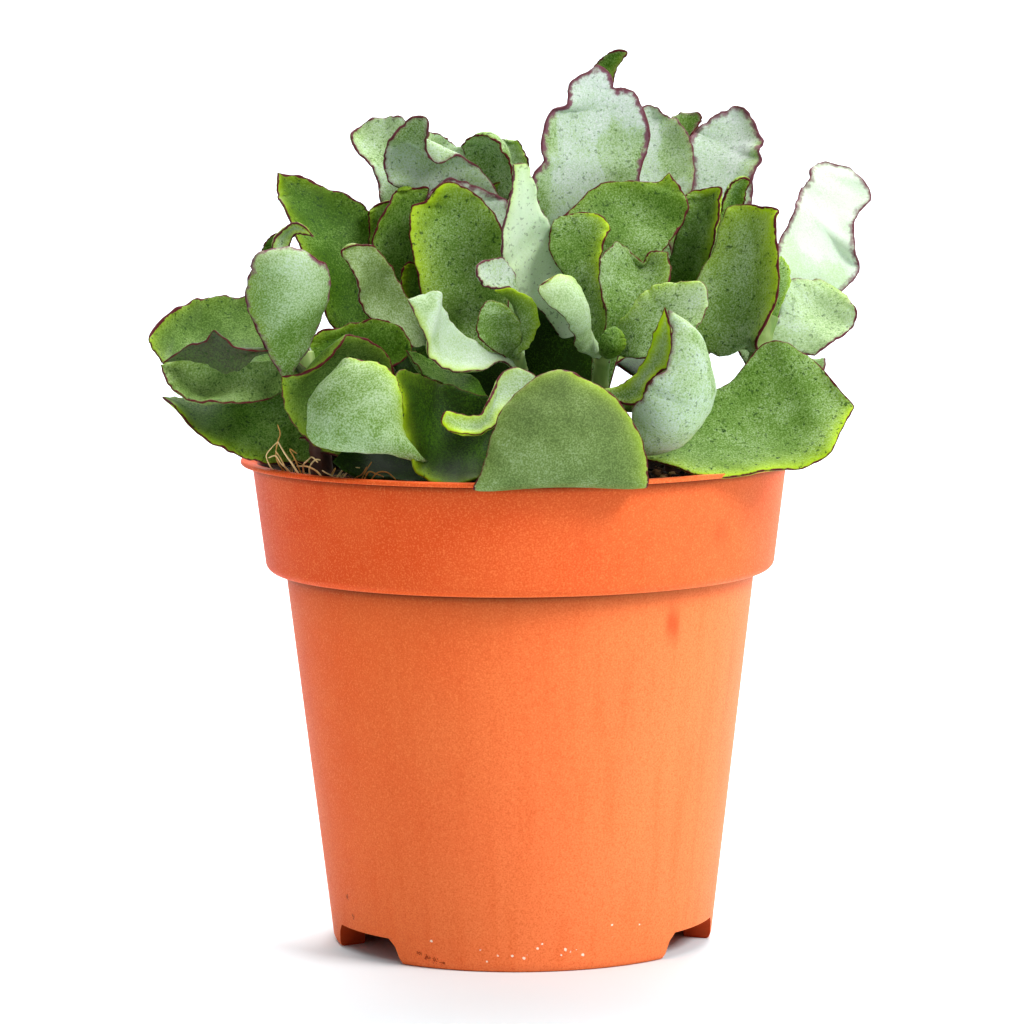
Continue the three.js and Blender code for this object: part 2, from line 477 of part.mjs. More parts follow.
function potSolid() {
  const lipFoot = POT_HEIGHT - LIP_HEIGHT;
  const floor = FOOT_HEIGHT + FLOOR_THICKNESS;
  const ledge = COLLAR_FOOT_Z + FLOOR_THICKNESS;
  const collarCorner = COLLAR_FOOT_Z + COLLAR_CORNER;
  const profile = [
    [0, FOOT_HEIGHT],
    [FOOT_RING_INNER + FOOT_ROUND / 2, FOOT_HEIGHT],
    [FOOT_RING_INNER, 0],
    [FOOT_RING_OUTER, 0],
    [BASE_RADIUS, FOOT_ROUND],
    [BODY_TOP_RADIUS, COLLAR_FOOT_Z - LIP_ROUND],
    [COLLAR_FOOT_RADIUS - COLLAR_CORNER, COLLAR_FOOT_Z],
    [COLLAR_FOOT_RADIUS - COLLAR_CORNER / 4, COLLAR_FOOT_Z + COLLAR_CORNER / 4],
    [COLLAR_FOOT_RADIUS, collarCorner],
    [COLLAR_TOP_RADIUS, lipFoot - LIP_ROUND],
    [LIP_RADIUS - LIP_ROUND, lipFoot],
    [LIP_RADIUS, lipFoot + LIP_ROUND],
    [LIP_RADIUS - LIP_ROUND, POT_HEIGHT],
    [LIP_RADIUS - LIP_WIDTH, POT_HEIGHT],
    [collarInner(lipFoot), lipFoot - LIP_ROUND],
    [collarInner(collarCorner), collarCorner],
    [bodyInner(COLLAR_FOOT_Z), ledge],
    [bodyInner(floor + FOOT_ROUND), floor + FOOT_ROUND],
    [bodyInner(floor) - FOOT_ROUND, floor],
    [0, floor],
  ];
  let solid = solidOf(lathe(profile, POT_SIDES));
  const half = THREE.MathUtils.degToRad(NOTCH_SPAN / 2);
  const width = BASE_RADIUS * Math.tan(half);
  for (const middle of NOTCH_MIDDLES) {
    const outline = new THREE.Shape();
    outline.moveTo(-width - NOTCH_ROUND, -1);
    outline.lineTo(-width + NOTCH_SLANT - NOTCH_ROUND, FOOT_HEIGHT - NOTCH_ROUND);
    outline.lineTo(-width + NOTCH_SLANT, FOOT_HEIGHT);
    outline.lineTo(width - NOTCH_SLANT, FOOT_HEIGHT);
    outline.lineTo(width - NOTCH_SLANT + NOTCH_ROUND, FOOT_HEIGHT - NOTCH_ROUND);
    outline.lineTo(width + NOTCH_ROUND, -1);
    outline.closePath();
    const geometry = new THREE.ExtrudeGeometry(outline, { depth: NOTCH_DEPTH, bevelEnabled: false });
    geometry.rotateX(Math.PI / 2);
    geometry.translate(0, BODY_TOP_RADIUS, 0);
    geometry.rotateZ(THREE.MathUtils.degToRad(middle - 90));
    solid = solid.subtract(solidOf(geometry));
  }
  for (let i = 0; i < DRAIN_COUNT; i += 1) {
    const angle = (2 * Math.PI * (i + 0.5)) / DRAIN_COUNT;
    const x = DRAIN_RING * Math.cos(angle);
    const y = DRAIN_RING * Math.sin(angle);
    solid = solid.subtract(cylinder(x, y, 0, floor + 1, DRAIN_RADIUS, DRAIN_SIDES));
  }
  return solid;
}

// Height of the soil, with soft lumps
function soilHeight(x, y) {
  const far = Math.hypot(x, y) / COLLAR_TOP_RADIUS;
  const lumps = Math.sin(x * 0.23 + 1.1) * Math.cos(y * 0.19 + 0.4) + 0.6 * Math.sin(x * 0.11 - y * 0.31);
  return SOIL_RIM_Z + SOIL_MOUND * (1 - far * far) + SOIL_ROUGHNESS * lumps * Math.min(1, 6 * (1 - far));
}

function soilSolid() {
  const floor = FOOT_HEIGHT + FLOOR_THICKNESS;
  const bottom = floor + GAP;
  const ledge = COLLAR_FOOT_Z + FLOOR_THICKNESS + GAP;
  const shoulder = COLLAR_FOOT_Z + COLLAR_CORNER + 2 * GAP;
  const side = 1.5 * GAP;
  const outer = collarInner(SOIL_RIM_Z) - side;
  const profile = [
    [0, bottom],
    [bodyInner(bottom) - FOOT_ROUND - side, bottom],
    [bodyInner(bottom + FOOT_ROUND) - side, bottom + FOOT_ROUND],
    [bodyInner(COLLAR_FOOT_Z) - side, ledge],
    [collarInner(shoulder) - side, shoulder],
    [outer, SOIL_RIM_Z],
    ...SOIL_RINGS.map((share) => [outer * share, SOIL_RIM_Z + 1]),
    [0, SOIL_RIM_Z + 1],
  ];
  const geometry = lathe(profile, POT_SIDES);
  const position = geometry.attributes.position;
  for (let i = 0; i < position.count; i += 1) {
    if (position.getZ(i) > SOIL_RIM_Z + 0.5) {
      position.setZ(i, soilHeight(position.getX(i), position.getY(i)));
    }
  }
  let solid = solidOf(geometry);
  for (const name of Object.keys(STEMS)) {
    const [radius, foot] = STEMS[name];
    const surface = stemCurve(name).getPoint(STEM_AT_SOIL);
    const reach = Math.hypot(surface.x - foot[0], surface.y - foot[1]);
    const x = (foot[0] + surface.x) / 2;
    const y = (foot[1] + surface.y) / 2;
    const hole = (radius + reach / 2 + HOLE_PLAY) / Math.cos(Math.PI / HOLE_SIDES);
    solid = solid.subtract(cylinder(x, y, foot[2] - 3 * GAP, HOLE_TOP, hole, HOLE_SIDES));
  }
  return solid;
}

const part = new THREE.Group();
part.name = 'potted_curly_jade_plant';

function addNode(name, solid, color, roughness) {
  const mesh = new THREE.Mesh(
    geometryOf(solid),
    new THREE.MeshStandardMaterial({ color, roughness, metalness: 0 }),
  );
  mesh.name = name;
  part.add(mesh);
}

addNode('pot', potSolid(), 0xe06a35, 0.5);
addNode('soil', soilSolid(), 0x2c1d14, 0.95);
for (const name of Object.keys(STEMS)) {
  addNode(`leafy_stem_${name}`, leafyStem(name), 0x7f9f78, 0.55);
}

export default part;
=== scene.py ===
"""Looks of a potted curly jade plant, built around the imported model. Metres, +Z up, front towards -Y."""

import math
import random

import bpy
import numpy as np
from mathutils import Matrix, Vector


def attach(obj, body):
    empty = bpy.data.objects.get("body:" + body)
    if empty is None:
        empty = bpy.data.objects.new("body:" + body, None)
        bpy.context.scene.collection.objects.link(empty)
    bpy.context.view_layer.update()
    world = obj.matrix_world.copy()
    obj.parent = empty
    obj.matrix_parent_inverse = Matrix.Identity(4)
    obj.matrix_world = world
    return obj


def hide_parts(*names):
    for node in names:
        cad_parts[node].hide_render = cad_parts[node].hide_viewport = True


# Sizes and places are in millimetres where nothing else is said, and MM turns them into metres
MM = 0.001

# Camera: where the photograph was taken from in metres, and how it was turned in degrees
CAMERA_AT = (-0.00167, -1.0, 0.2)
CAMERA_PITCH = 6.13
CAMERA_ROLL = 0.4
CAMERA_LENS = 163.8
CAMERA_SENSOR = 36.0

# Lights, in metres and watts: what they face, then the name, place, size and power of each, and its
# tilt in degrees where it faces down at the floor instead
LIGHT_AIM = (0, 0, 0.12)
LIGHTS = (
    ("key_right", (0.9, -0.6, 1.0), 0.5, 18, None),
    ("fill_top", (-0.3, -0.8, 1.5), 0.6, 5.5, None),
    ("back_top", (0.1, 0.6, 1.2), 0.5, 12, None),
    ("backdrop_wash", (0, 1, 1.6), 1.6, 38, 20),
)
SURROUNDINGS_STRENGTH = 0.3

# Floor: how far it reaches, where its front part ends, where and how widely it curves up and in how
# many steps, and its paint
FLOOR_REACH = 4000
FLOOR_FRONT = 1500
FLOOR_CURVE = 900
FLOOR_STEPS = 12
FLOOR_PAINT = (0.78, 0.86, 0.89, 1)

# Pot: lip, collar, body, foot, notches and drain holes, then the sides and rows of its mesh
LIP_RADIUS = 60
POT_HEIGHT = 104.8
LIP_HEIGHT = 0.9
LIP_WIDTH = 2.2
LIP_ROUND = 0.4
COLLAR_TOP_RADIUS = 57.5
COLLAR_FOOT_RADIUS = 54.9
COLLAR_FOOT_Z = 80.6
COLLAR_CORNER = 2.2
BODY_TOP_RADIUS = 50.6
BASE_RADIUS = 41.1
WALL = 1.4
FOOT_HEIGHT = 5.4
FOOT_RING_INNER = 35.0
FOOT_RING_OUTER = 40.1
FOOT_ROUND = 1.2
FLOOR_THICKNESS = 1.6
NOTCH_MIDDLES = (-146, -26, 94)
NOTCH_SPAN = 30
NOTCH_SLANT = 1.7
NOTCH_ROUND = 1.6
NOTCH_INNER = 32
NOTCH_DEPTH = 20
DRAIN_RADIUS = 3.2
DRAIN_RING = 24
DRAIN_COUNT = 6
DRAIN_SIDES = 32
DRAIN_HEIGHTS = (0, 4, 9)
POT_SIDES = 288
POT_STEP = 1
SHARP_ANGLE = 40

# Small steps of the pot's outline: the rows under its floor, the foot ring's edges, the neck under
# the collar, the inner corners, the rise under the lip, the lip's lower edge and its inner slope
FLOOR_ROWS = (12, 34)
FOOT_LEAN = 0.1
FOOT_CHAMFER = 0.4
FOOT_EDGE = 0.3
NECK_LEAN = 0.1
NECK_HEIGHT = 0.7
INNER_CORNER = 0.2
UNDER_LIP = 0.5
LIP_EDGE = 0.15
LIP_SLOPE_WIDTH = 0.8
LIP_SLOPE_DROP = 0.4

# Painted shade on the pot: its strength and how far it reaches, under the lip and twice under the
# collar, and its strength on the faces inside and under the foot, out of the light
LIP_SHADE = (1.3, 0.6)
COLLAR_SHADES = ((0.95, 0.75), (0.3, 3))
HIDDEN_SHADE = 0.9

# Light on the pot: how far to the right it is full, how much is added low down, and below which height
LIT_REACH = 45
LIT_LOW = 0.4
LIT_LOW_Z = 75
COLLAR_BLEND = 0.8

# Reddish rubs on the pot's front: place across, height, half width and half height
STAINS = ((41.7, 92, 1.2, 2.4), (31.6, 73, 1.3, 3.4))

# Pale flecks and dark dirt low on the pot's front: place across, height and size, and the share of
# the size that has the full colour
SPOT_CORE = 0.6
FLECKS = (
    (-19.3, 6.1, 0.36), (-9, 4.8, 0.36), (-7.6, 2.3, 0.38), (-5.2, 3.6, 0.34), (-2.3, 3.7, 0.34),
    (0.2, 3.2, 0.3), (0.9, 3.9, 0.24), (3.1, 5.2, 0.3), (4, 6.2, 0.24), (9, 4.8, 0.4), (10, 4.4, 0.3),
    (11.2, 4.6, 0.22), (12.6, 3.4, 0.4), (8, 3.6, 0.3), (18.7, 9.4, 0.26), (18.9, 6.8, 0.24),
    (24.7, 8.8, 0.2), (29.4, 9.1, 0.2),
)
DIRT = (
    (-37.5, 12.4, 0.5), (-36.2, 8.3, 0.35), (-22, 3.2, 0.5), (-20.2, 2.4, 0.6), (-18.6, 1.9, 0.5),
    (-17, 1.3, 0.4),
)

# Soil: its height at the rim, how much higher the middle is, its lumps and finer roughness, the bank
# at one side with the share of the radius where it starts and over which it rises, the gaps beside
# and under the soil, how high above the collar's foot it widens, and its sides and rings
SOIL_RIM_Z = 98.6
SOIL_MOUND = 1.6
SOIL_ROUGHNESS = 0.7
SOIL_CLODS = 0.35
SOIL_GRAIN = 0.16
SOIL_SEED = 5
BANK_HEADING = -165
BANK_SPREAD = 45
BANK_HEIGHT = 3.6
BANK_START = 0.6
BANK_RISE = 0.3
SOIL_GAP = 0.5
SOIL_FLOOR_GAP = 0.3
SOIL_STEP = (2, 3)
SOIL_SIDES = 200
SOIL_RINGS = 80

# Loose crumbs on the soil: how many, how far out, the size of the smallest one, how much larger the
# largest is, how high they lie, and the ranges of the stretch along each side and of each corner's
# own reach
CRUMB_SEED = 11
CRUMB_COUNT = 1500
CRUMB_REACH = 54
CRUMB_SMALL = 0.3
CRUMB_SPREAD = 1.1
CRUMB_LIFT = 0.25
CRUMB_STRETCH = ((0.6, 1.5), (0.6, 1.2), (0.45, 0.9))
CRUMB_LUMPS = (0.75, 1.2)

# Root fibres: points along one, its sides, how far out they stand and reach, how deep they start,
# how far they run sideways, how much of their reach they rise, how much they bend, height and beats
# of their waves, their radii and how much thinner the tip is
FIBRE_SEED = 23
FIBRE_STEPS = 16
FIBRE_SIDES = 6
FIBRE_FOOT_REACH = 53
FIBRE_REACH = 54.5
FIBRE_DEPTH = 1
FIBRE_RUN = (3, 9)
FIBRE_RISE = (0.2, 1)
FIBRE_BEND = 2
FIBRE_WAVE = 0.25
FIBRE_BEATS = (8, 16)
FIBRE_RADII = (0.08, 0.18)
FIBRE_TAPER = 0.7

# Tufts of fibres: the middle, how far it spreads, how many fibres, and how high they reach
TUFTS = (
    ((-49, -33), 6, 14, 5),
    ((-42, -37), 5, 26, 3.5),
    ((-32, -44), 5, 26, 3.5),
    ((-20, -47), 6, 6, 2.5),
    ((44, -34), 6, 6, 2.5),
)

# Single straws that stand out: points along one, how far out they end, then the tone, radius and
# points of each
STRAW_STEPS = 24
STRAW_REACH = 53.5
STRAWS = (
    (0.35, 0.2, ((-50.5, -30, 114.5), (-50, -30, 112.5), (-50.5, -30, 111), (-51, -29, 108))),
    (0.8, 0.16, ((-50.5, -30, 111), (-52, -30, 109.5), (-53, -29, 108), (-52.5, -28, 106))),
    (0.9, 0.26, ((-50.5, -30, 111), (-49, -31, 108.5), (-47.5, -32, 106.5), (-46.5, -33, 105))),
    (0.8, 0.22, ((-52.5, -29, 107.5), (-51, -30, 108), (-50, -30, 106.5), (-48.5, -30, 105))),
    (0.7, 0.2, ((-51, -30, 109), (-50, -30, 107.5), (-49, -30, 105.5))),
    (0.5, 0.18, ((-46.5, -31, 108.5), (-48, -31, 109.5), (-47, -31, 107.5))),
    (0.85, 0.22, ((-42, -35, 107), (-43.5, -34, 108), (-44, -34, 107.5), (-45, -33, 106.5))),
    (0.9, 0.24, ((-41.5, -35, 107.5), (-42.5, -34, 107.5), (-43.5, -34, 106.5))),
    (0.7, 0.24, ((-46.5, -32, 106), (-44, -34, 106), (-41.5, -36, 104.5))),
    (0.95, 0.22, ((-41, -37, 105.5), (-40, -38, 105), (-39, -38, 104.5))),
    (1.0, 0.3, ((-35.5, -40, 107.5), (-37, -41, 105.5), (-38, -42, 104))),
    (0.95, 0.26, ((-33, -42, 106.5), (-34, -42, 106.5), (-35, -42, 106), (-36.5, -42, 104.5))),
    (0.2, 0.2, ((-30.5, -45, 108), (-31.5, -45, 106.5), (-32.5, -45, 104.5))),
    (0.3, 0.22, ((-28, -46, 105), (-29.5, -45, 105.5), (-31, -45, 106), (-32, -45, 104.5))),
    (0.25, 0.2, ((-25.5, -47, 104.5), (-27.5, -46, 106), (-29, -46, 106), (-30.5, -46, 104.5))),
    (0.15, 0.2, ((-31.5, -45, 107), (-32.5, -45, 105.5), (-34, -44, 104.5))),
)

# Leaves: half the thickness in the middle and near the margin, how far from the margin it has
# its full roundness, and how fast it swells inwards
CORE_HALF = 1.15
EDGE_HALF = 0.3
EDGE_ROUND = 0.55
SWELL = 3.2

# Half the width of a leaf at its stem, how straight a tip's turn is to be rounded, how far the right
# margin's wave is ahead of the left one's, height and beats of the fine waves up and down and of the
# teeth in the margin's outline, the width of the leaf below which both fade, the width below which
# it has the tip's direction, and how far ahead and behind its heading is taken
NECK = 1.9
ROUND_TIP = 0.3
WAVE_SHIFT = 0.3
RIPPLE = 0.42
RIPPLE_BEATS = 4.5
TOOTH = 0.16
TOOTH_BEATS = 9
FADE_WIDTH = 6
TIP_WIDTH = 0.2
HEADING_STEP = 0.05

# Points along and across the grid of a leaf from the table LEAVES, and of a plain leaf
LEAF_GRID = (60, 30)
PLAIN_GRID = (30, 20)

# Steps along a stem, its sides and rings, the share of its radius by which rings and knots stand out
# and by which the top is thinner, and the heights between which it turns from wood to green
STEM_STEPS = 90
STEM_SIDES = 20
STEM_RINGS = 7
RING_HEIGHT = 0.1
KNOT_HEIGHT = 0.035
STEM_TAPER = 0.22
WOOD_TOP_Z = 111
GREEN_FOOT_Z = 123

# Stems: radius, then the foot in the soil, the bend and the growing tip of the middle line
STEMS = {
  "left": (2.6, (-41, -27, 92), (-41, -27, 110), (-45, -23, 129)),
  "front": (2.4, (-3, -35, 92), (-3, -35, 106), (-5, -30, 116)),
  "mid": (2.8, (-17, 5, 92), (-17, 5, 126), (-11, 4, 153)),
  "rosea": (2.1, (3, -15, 92), (3, -15, 114), (-0.5, -22, 128)),
  "roseb": (2.1, (16, -15, 92), (16, -15, 114), (18, -21, 130)),
  "tall": (2.8, (17, 10, 92), (17, 10, 122), (17, 9, 152)),
  "rear": (2.6, (34, 12, 92), (34, 12, 122), (37, 13, 146)),
  "right": (2.4, (46, -9, 92), (46, -9, 114), (54, -5, 135)),
  "nose": (2.6, (17, -34, 92), (17, -34, 106), (20, -40, 119)),
  "back_left": (2.6, (-30, 28, 92), (-30, 28, 114), (-33, 33, 135)),
  "back_mid": (2.5, (2, 36, 92), (2, 36, 114), (4, 40, 133)),
  "back_right": (2.5, (30, 38, 92), (30, 38, 112), (34, 44, 130)),
}

# Leaves: name, stem, place on the stem from 0 to 1, the left margin from the base to the tip, the
# tip, the right margin from the base to the tip, the hollow of the face at three places between
# base and tip or else the points of its middle line, and the margin's wave as height, beats and
# start
LEAVES = [
  ("a4", "left", 0.85,
    [(-48, -25, 125), (-56, -27, 125.5), (-65.5, -30, 124), (-73, -28.5, 126), (-76, -26, 129.5)],
    (-77.5, -24.5, 132.5),
    [(-49.5, -13, 137), (-54.5, -9.5, 139), (-58, -9, 140), (-60.5, -9.5, 140.5), (-63, -9.5, 140.5),
     (-66, -10, 139.5), (-68.5, -12, 140), (-71, -14, 139), (-74, -17, 137)],
    (2, 3, 2), (0.8, 3, 0.2)),
  ("a5", "left", 0.8,
    [(-48, -28, 121), (-55, -33.5, 119.5), (-60, -35.5, 119.5), (-64, -37, 120), (-67, -38, 120.5),
     (-70, -38, 121.5), (-72, -38, 123), (-73.5, -36, 125)],
    (-74.5, -33.5, 127.5),
    [(-49, -31, 127.5), (-53.5, -31, 128), (-57.5, -31, 127.5), (-62, -31, 127), (-66.5, -32, 128),
     (-70.5, -33, 128.5)],
    (2, 4, 2), (0.5, 2, 0.6)),
  ("a2", "left", 0.75,
    [(-49.5, -35, 125.5), (-52, -36, 130), (-54.5, -37, 135), (-55.5, -38, 138), (-56.5, -39, 141.5),
     (-56, -40, 145), (-55, -41, 147.5), (-55, -42, 149), (-53.5, -42, 151)],
    (-50.5, -42, 152),
    [(-47, -34, 126), (-44.5, -33, 129.5), (-42, -33, 134.5), (-40, -34, 139.5), (-39, -36, 144),
     (-39.5, -38, 148), (-42.5, -40, 150.5), (-46.5, -41, 152)],
    (-2, -4, -3), (0.4, 4, 0)),
  ("a3", "left", 0.95,
    [(-51, -15, 145), (-52, -15, 150.5), (-51.5, -15, 152.5), (-49.5, -15, 154.5), (-47.5, -15, 156),
     (-45.5, -16, 155.5)],
    (-43, -17, 153),
    [(-48, -14, 145), (-48.5, -14, 150.5), (-48, -14, 152), (-47, -15, 153.5), (-45.5, -16, 153.5)],
    (1, 2, 1), (0, 1, 0)),
  ("a6", "left", 0.42,
    [(-48, -23, 106), (-53.5, -26, 106), (-58, -28, 107.5), (-61.5, -29, 109), (-64.5, -30, 111),
     (-68, -29, 113.5), (-71.5, -27, 117.5)],
    (-75, -24, 120),
    [(-46.5, -18, 119.5), (-53, -17, 120.5), (-59, -17, 120), (-64.5, -18, 119.5), (-68.5, -19, 119.5),
     (-72, -21, 119.5)],
    (0, 0.5, 0.5), (0.3, 2, 0.3)),
  ("g2", "left", 0.5,
    [(-36.5, -36, 108), (-41, -36, 109.5), (-44.5, -37, 112.5), (-47, -38, 115.5), (-48.5, -40, 119),
     (-49, -41, 122.5)],
    (-49, -41, 125.5),
    [(-28, -34, 120), (-26, -36, 126.5), (-29.5, -39, 132), (-32.5, -41, 133.5), (-35.5, -43, 133.5),
     (-37, -44, 131.5), (-39.5, -44, 129), (-44, -43, 126.5)],
    (2, 3, 2), (0.5, 2, 0.3)),
  ("g3", "left", 0.7,
    [(-43.5, -23, 124.5), (-45, -22, 127), (-45, -21.5, 129.5), (-43.5, -21, 132)],
    (-41.5, -20.5, 133.5),
    [(-28, -23.5, 125), (-22.5, -22, 129.5), (-24.5, -22, 134), (-27.5, -21, 135.5), (-31, -20, 136),
     (-34, -19.5, 135), (-37.5, -19, 134)],
    (1, 2, 1), (0.4, 2, 0.3)),
  ("g1", "front", 0.45,
    [(-22.5, -50, 109), (-26.5, -52, 110), (-31.5, -52, 110.5), (-37, -51, 111), (-40.5, -50, 111.5),
     (-43, -49, 113), (-43.5, -48, 117), (-43, -47, 121), (-41, -46, 124), (-38, -46, 127)],
    (-35.5, -46, 129.5),
    [(-22, -49, 111), (-23.5, -49, 113.5), (-24, -49, 117.5), (-24, -48.5, 121.5), (-25, -48, 125),
     (-27, -47, 127.5), (-29, -46.5, 128.5), (-32, -46, 129)],
    (-3, -5, -3), (0.3, 2, 0)),
  ("h1", "front", 0.7,
    [(-6.5, -47, 105), (-10, -50, 104.5), (-14, -52, 103.5), (-18, -52, 104.5), (-21, -51.5, 106.5),
     (-22.5, -51, 110), (-23.5, -50, 113.5), (-24, -49.5, 117.5), (-24, -49, 121.5)],
    (-25.5, -47, 125.5),
    [(-4, -36, 117.5), (-6.5, -36, 120.5), (-10, -36, 121.5), (-14.5, -36, 123), (-18.5, -38, 124.5),
     (-21.5, -41, 126), (-24, -44, 127)],
    [(-8, -40, 109.5), (-12, -39, 110.5), (-16, -39, 112.5), (-19, -40, 115.5), (-21, -42, 119),
     (-23, -44, 122.5)],
    (0.1, 2, 0)),
  ("h2", "front", 0.95,
    [(-12, -32, 121), (-15.5, -32.5, 122.5), (-20, -33, 125.5)],
    (-23.5, -31, 130),
    [(-10, -25, 124), (-16, -25, 126), (-20, -26.5, 128.5)],
    (1, 1, 1), (0.3, 2, 0.3)),
  ("f2", "front", 0.9,
    [(2, -42, 120), (-1.5, -45, 119), (-4, -48, 118), (-5, -51, 116), (-8, -53, 114.5), (-12, -54, 114.5),
     (-15, -53, 115.5)],
    (-16, -52, 117),
    [(3.5, -40, 125), (0, -40, 127), (-3.5, -42, 126), (-5, -45, 123), (-6.5, -48, 120.5),
     (-8.5, -50, 118), (-11.5, -50, 118), (-15, -51, 119)],
    (1, 2, 1), (0, 1, 0)),
  ("f1", "nose", 0.78,
    [(-5.5, -54, 105), (-9.5, -61, 104), (-7.5, -61, 108.5), (-6, -60.5, 114), (-3.5, -59, 120),
     (0.5, -57, 124), (5, -56, 127)],
    (9, -55, 127.5),
    [(25, -53, 104.5), (26, -59, 104), (26, -59, 108), (25, -58.5, 113), (22.5, -58, 118),
     (19, -57, 122.5), (14, -56, 125.5)],
    [(8.5, -54, 106), (8.5, -60.5, 105.5), (8.5, -62, 109.5), (8.5, -62, 113.5), (8.5, -61, 118),
     (8.5, -59, 121.5), (8.5, -57, 125)],
    (0, 1, 0)),
  ("e5", "nose", 0.85,
    [(23.5, -45.5, 114), (23, -46.5, 118), (25, -50.5, 121), (26, -51, 123.5), (28, -52, 126),
     (30, -51.5, 127.5), (31, -51, 131), (31, -49, 135.5)],
    (30.5, -48, 139),
    [(27, -41, 109), (33, -42.5, 110.5), (36.5, -42, 114), (39, -40.5, 118), (40, -40.5, 122),
     (38.5, -42.5, 128), (37, -44, 133), (34, -46.5, 136.5)],
    (-3, -5, -3), (0.2, 2, 0.2)),
  ("e6", "nose", 0.98,
    [(17.5, -39.5, 122), (21, -38, 123), (23.5, -38.5, 125), (26, -40, 128.5), (27.5, -41.5, 133),
     (29, -43.5, 137)],
    (30, -44, 139.5),
    [(20, -40, 119.5), (23, -40.5, 119), (25.5, -41.5, 120), (26, -42, 122.5), (28, -42, 125),
     (30.5, -43, 127), (31.5, -44, 130.5), (31, -44, 136)],
    (1, 1, 1), (0, 1, 0)),
  ("e4", "nose", 0.5,
    [(28.5, -30, 112.5), (38, -25, 119), (42.5, -23, 121.5), (46.5, -21.5, 124.5), (49, -20.5, 127.5),
     (51.5, -20, 130), (55, -21, 130.5), (59, -21.5, 129), (63, -22.5, 126), (66.5, -25.5, 121.5)],
    (70, -28, 117.5),
    [(25, -38.5, 108), (31.5, -41.5, 106.5), (37.5, -44, 104.5), (44.5, -42, 104), (52, -40, 105),
     (60, -38, 106), (64.5, -37, 108.5), (67, -33, 112.5), (69, -29.5, 115.5)],
    (3, 5, 3), (0.4, 2, 0.1)),
  ("c4", "rosea", 0.9,
    [(-3, -25.5, 127), (-8, -34, 126), (-13.5, -37, 126), (-17, -39, 127.5), (-18.5, -39.5, 129.5),
     (-19, -39.5, 132.5), (-21, -39.5, 137)],
    (-23, -38, 141),
    [(-3, -24.5, 128.5), (-6.5, -27.5, 129.5), (-10, -30, 132), (-13.5, -32, 135.5), (-15.5, -33.5, 139),
     (-16.5, -35, 142.5), (-19.5, -36, 142)],
    (1, 2, 0), (0.3, 2, 0.3)),
  ("c5", "rosea", 0.97,
    [(-1, -21, 128.5), (0.5, -21, 131.5), (0.5, -22, 135), (-0.5, -23, 138), (-2, -24, 140.5)],
    (-5, -25, 142),
    [(0.5, -26, 129), (3, -27, 131.5), (4, -28, 134.5), (4, -29, 138.5), (2, -29, 141),
     (-1.5, -28, 142.5)],
    (-1, -2, -1), (0, 1, 0)),
  ("c6", "rosea", 0.97,
    [(-3, -25, 128), (-6.5, -29, 130.5), (-8.5, -30.5, 133), (-8.5, -30.5, 136.5), (-7.5, -29.5, 139)],
    (-6.5, -29, 140),
    [(-0.5, -24, 129), (0.5, -26, 131.5), (0.5, -27, 135), (-1, -28, 137.5), (-3.5, -28.5, 139.5)],
    (1.5, 2.5, 1), (0, 1, 0)),
  ("c7", "rosea", 0.85,
    [(-1, -15, 139.5), (-2, -17, 142), (-5.5, -19, 142), (-7.5, -21, 143), (-8.5, -22, 145)],
    (-8.5, -21, 147),
    [(0.5, -12, 140), (-1, -12, 145), (-3, -13, 148), (-6, -16, 148)],
    (1, 1, 1), (0, 1, 0)),
  ("c2", "rosea", 0.62,
    [(-18.5, -10, 134), (-20.5, -9, 139.5), (-22, -9, 147), (-23, -8.5, 152.5), (-23, -7, 156),
     (-22.5, -6, 159), (-19.5, -5.5, 160), (-18, -5.5, 162)],
    (-15, -5, 164),
    [(-2, -10.5, 133.5), (-2, -8, 143), (-3, -6.5, 149.5), (-3.5, -6, 154), (-5.5, -5.5, 158),
     (-8.5, -5, 161), (-11.5, -5, 163)],
    (2, 4, 2), (0.4, 3, 0.4)),
  ("d7", "roseb", 0.9,
    [(13, -14.5, 139), (9, -12.5, 145), (6.5, -11, 150), (7, -9, 154), (8.5, -8, 156.5), (10.5, -8, 157)],
    (13.5, -8, 157.5),
    [(18.5, -19, 137), (17.5, -18, 142.5), (17.5, -15.5, 148), (18.5, -13.5, 152), (19.5, -12, 154.5),
     (17, -9, 157)],
    (1, 2, 1), (0.2, 2, 0)),
  ("d8", "roseb", 0.95,
    [(18.5, -21, 136), (17.5, -21, 140.5), (17, -20, 145), (17.5, -19, 148.5), (19.5, -17, 150.5),
     (21.5, -15, 151.5), (23.5, -14, 149.5)],
    (26.5, -14, 147),
    [(25.5, -21, 136.5), (30, -20, 140.5), (32, -19, 144), (32, -17, 147.5), (31, -16, 149.5),
     (29, -15, 149.5), (27.5, -14.5, 149)],
    [(22, -19, 137.5), (23.5, -17, 141), (24.5, -14, 144), (26, -12.5, 146)],
    (0.1, 2, 0.4)),
  ("d9", "roseb", 0.93,
    [(15, -23.5, 128), (12, -28.5, 130), (11, -32, 133), (10, -34.5, 136), (6.5, -36, 139.5),
     (4, -34, 143)],
    (6, -34, 144.5),
    [(17.5, -21, 129), (15.5, -23.5, 132), (14, -25.5, 135), (13.5, -28, 139), (13, -29.5, 142),
     (11.5, -30, 144.5), (8.5, -31, 145.5)],
    (-1, -2, -1), (0.2, 2, 0.4)),
  ("d10", "roseb", 0.97,
    [(20.5, -23, 134.5), (23, -25, 137.5), (25.5, -25.5, 140.5), (27.5, -26, 142.5), (30.5, -26, 143.5),
     (34.5, -26.5, 143.5)],
    (38.5, -27.5, 143.5),
    [(21, -25.5, 128), (26.5, -32, 128), (32, -35, 131), (36, -34, 134), (38, -32, 135.5),
     (39.5, -30, 139.5)],
    (1, 3, 1), (0.3, 2, 0.4)),
  ("d11", "roseb", 0.97,
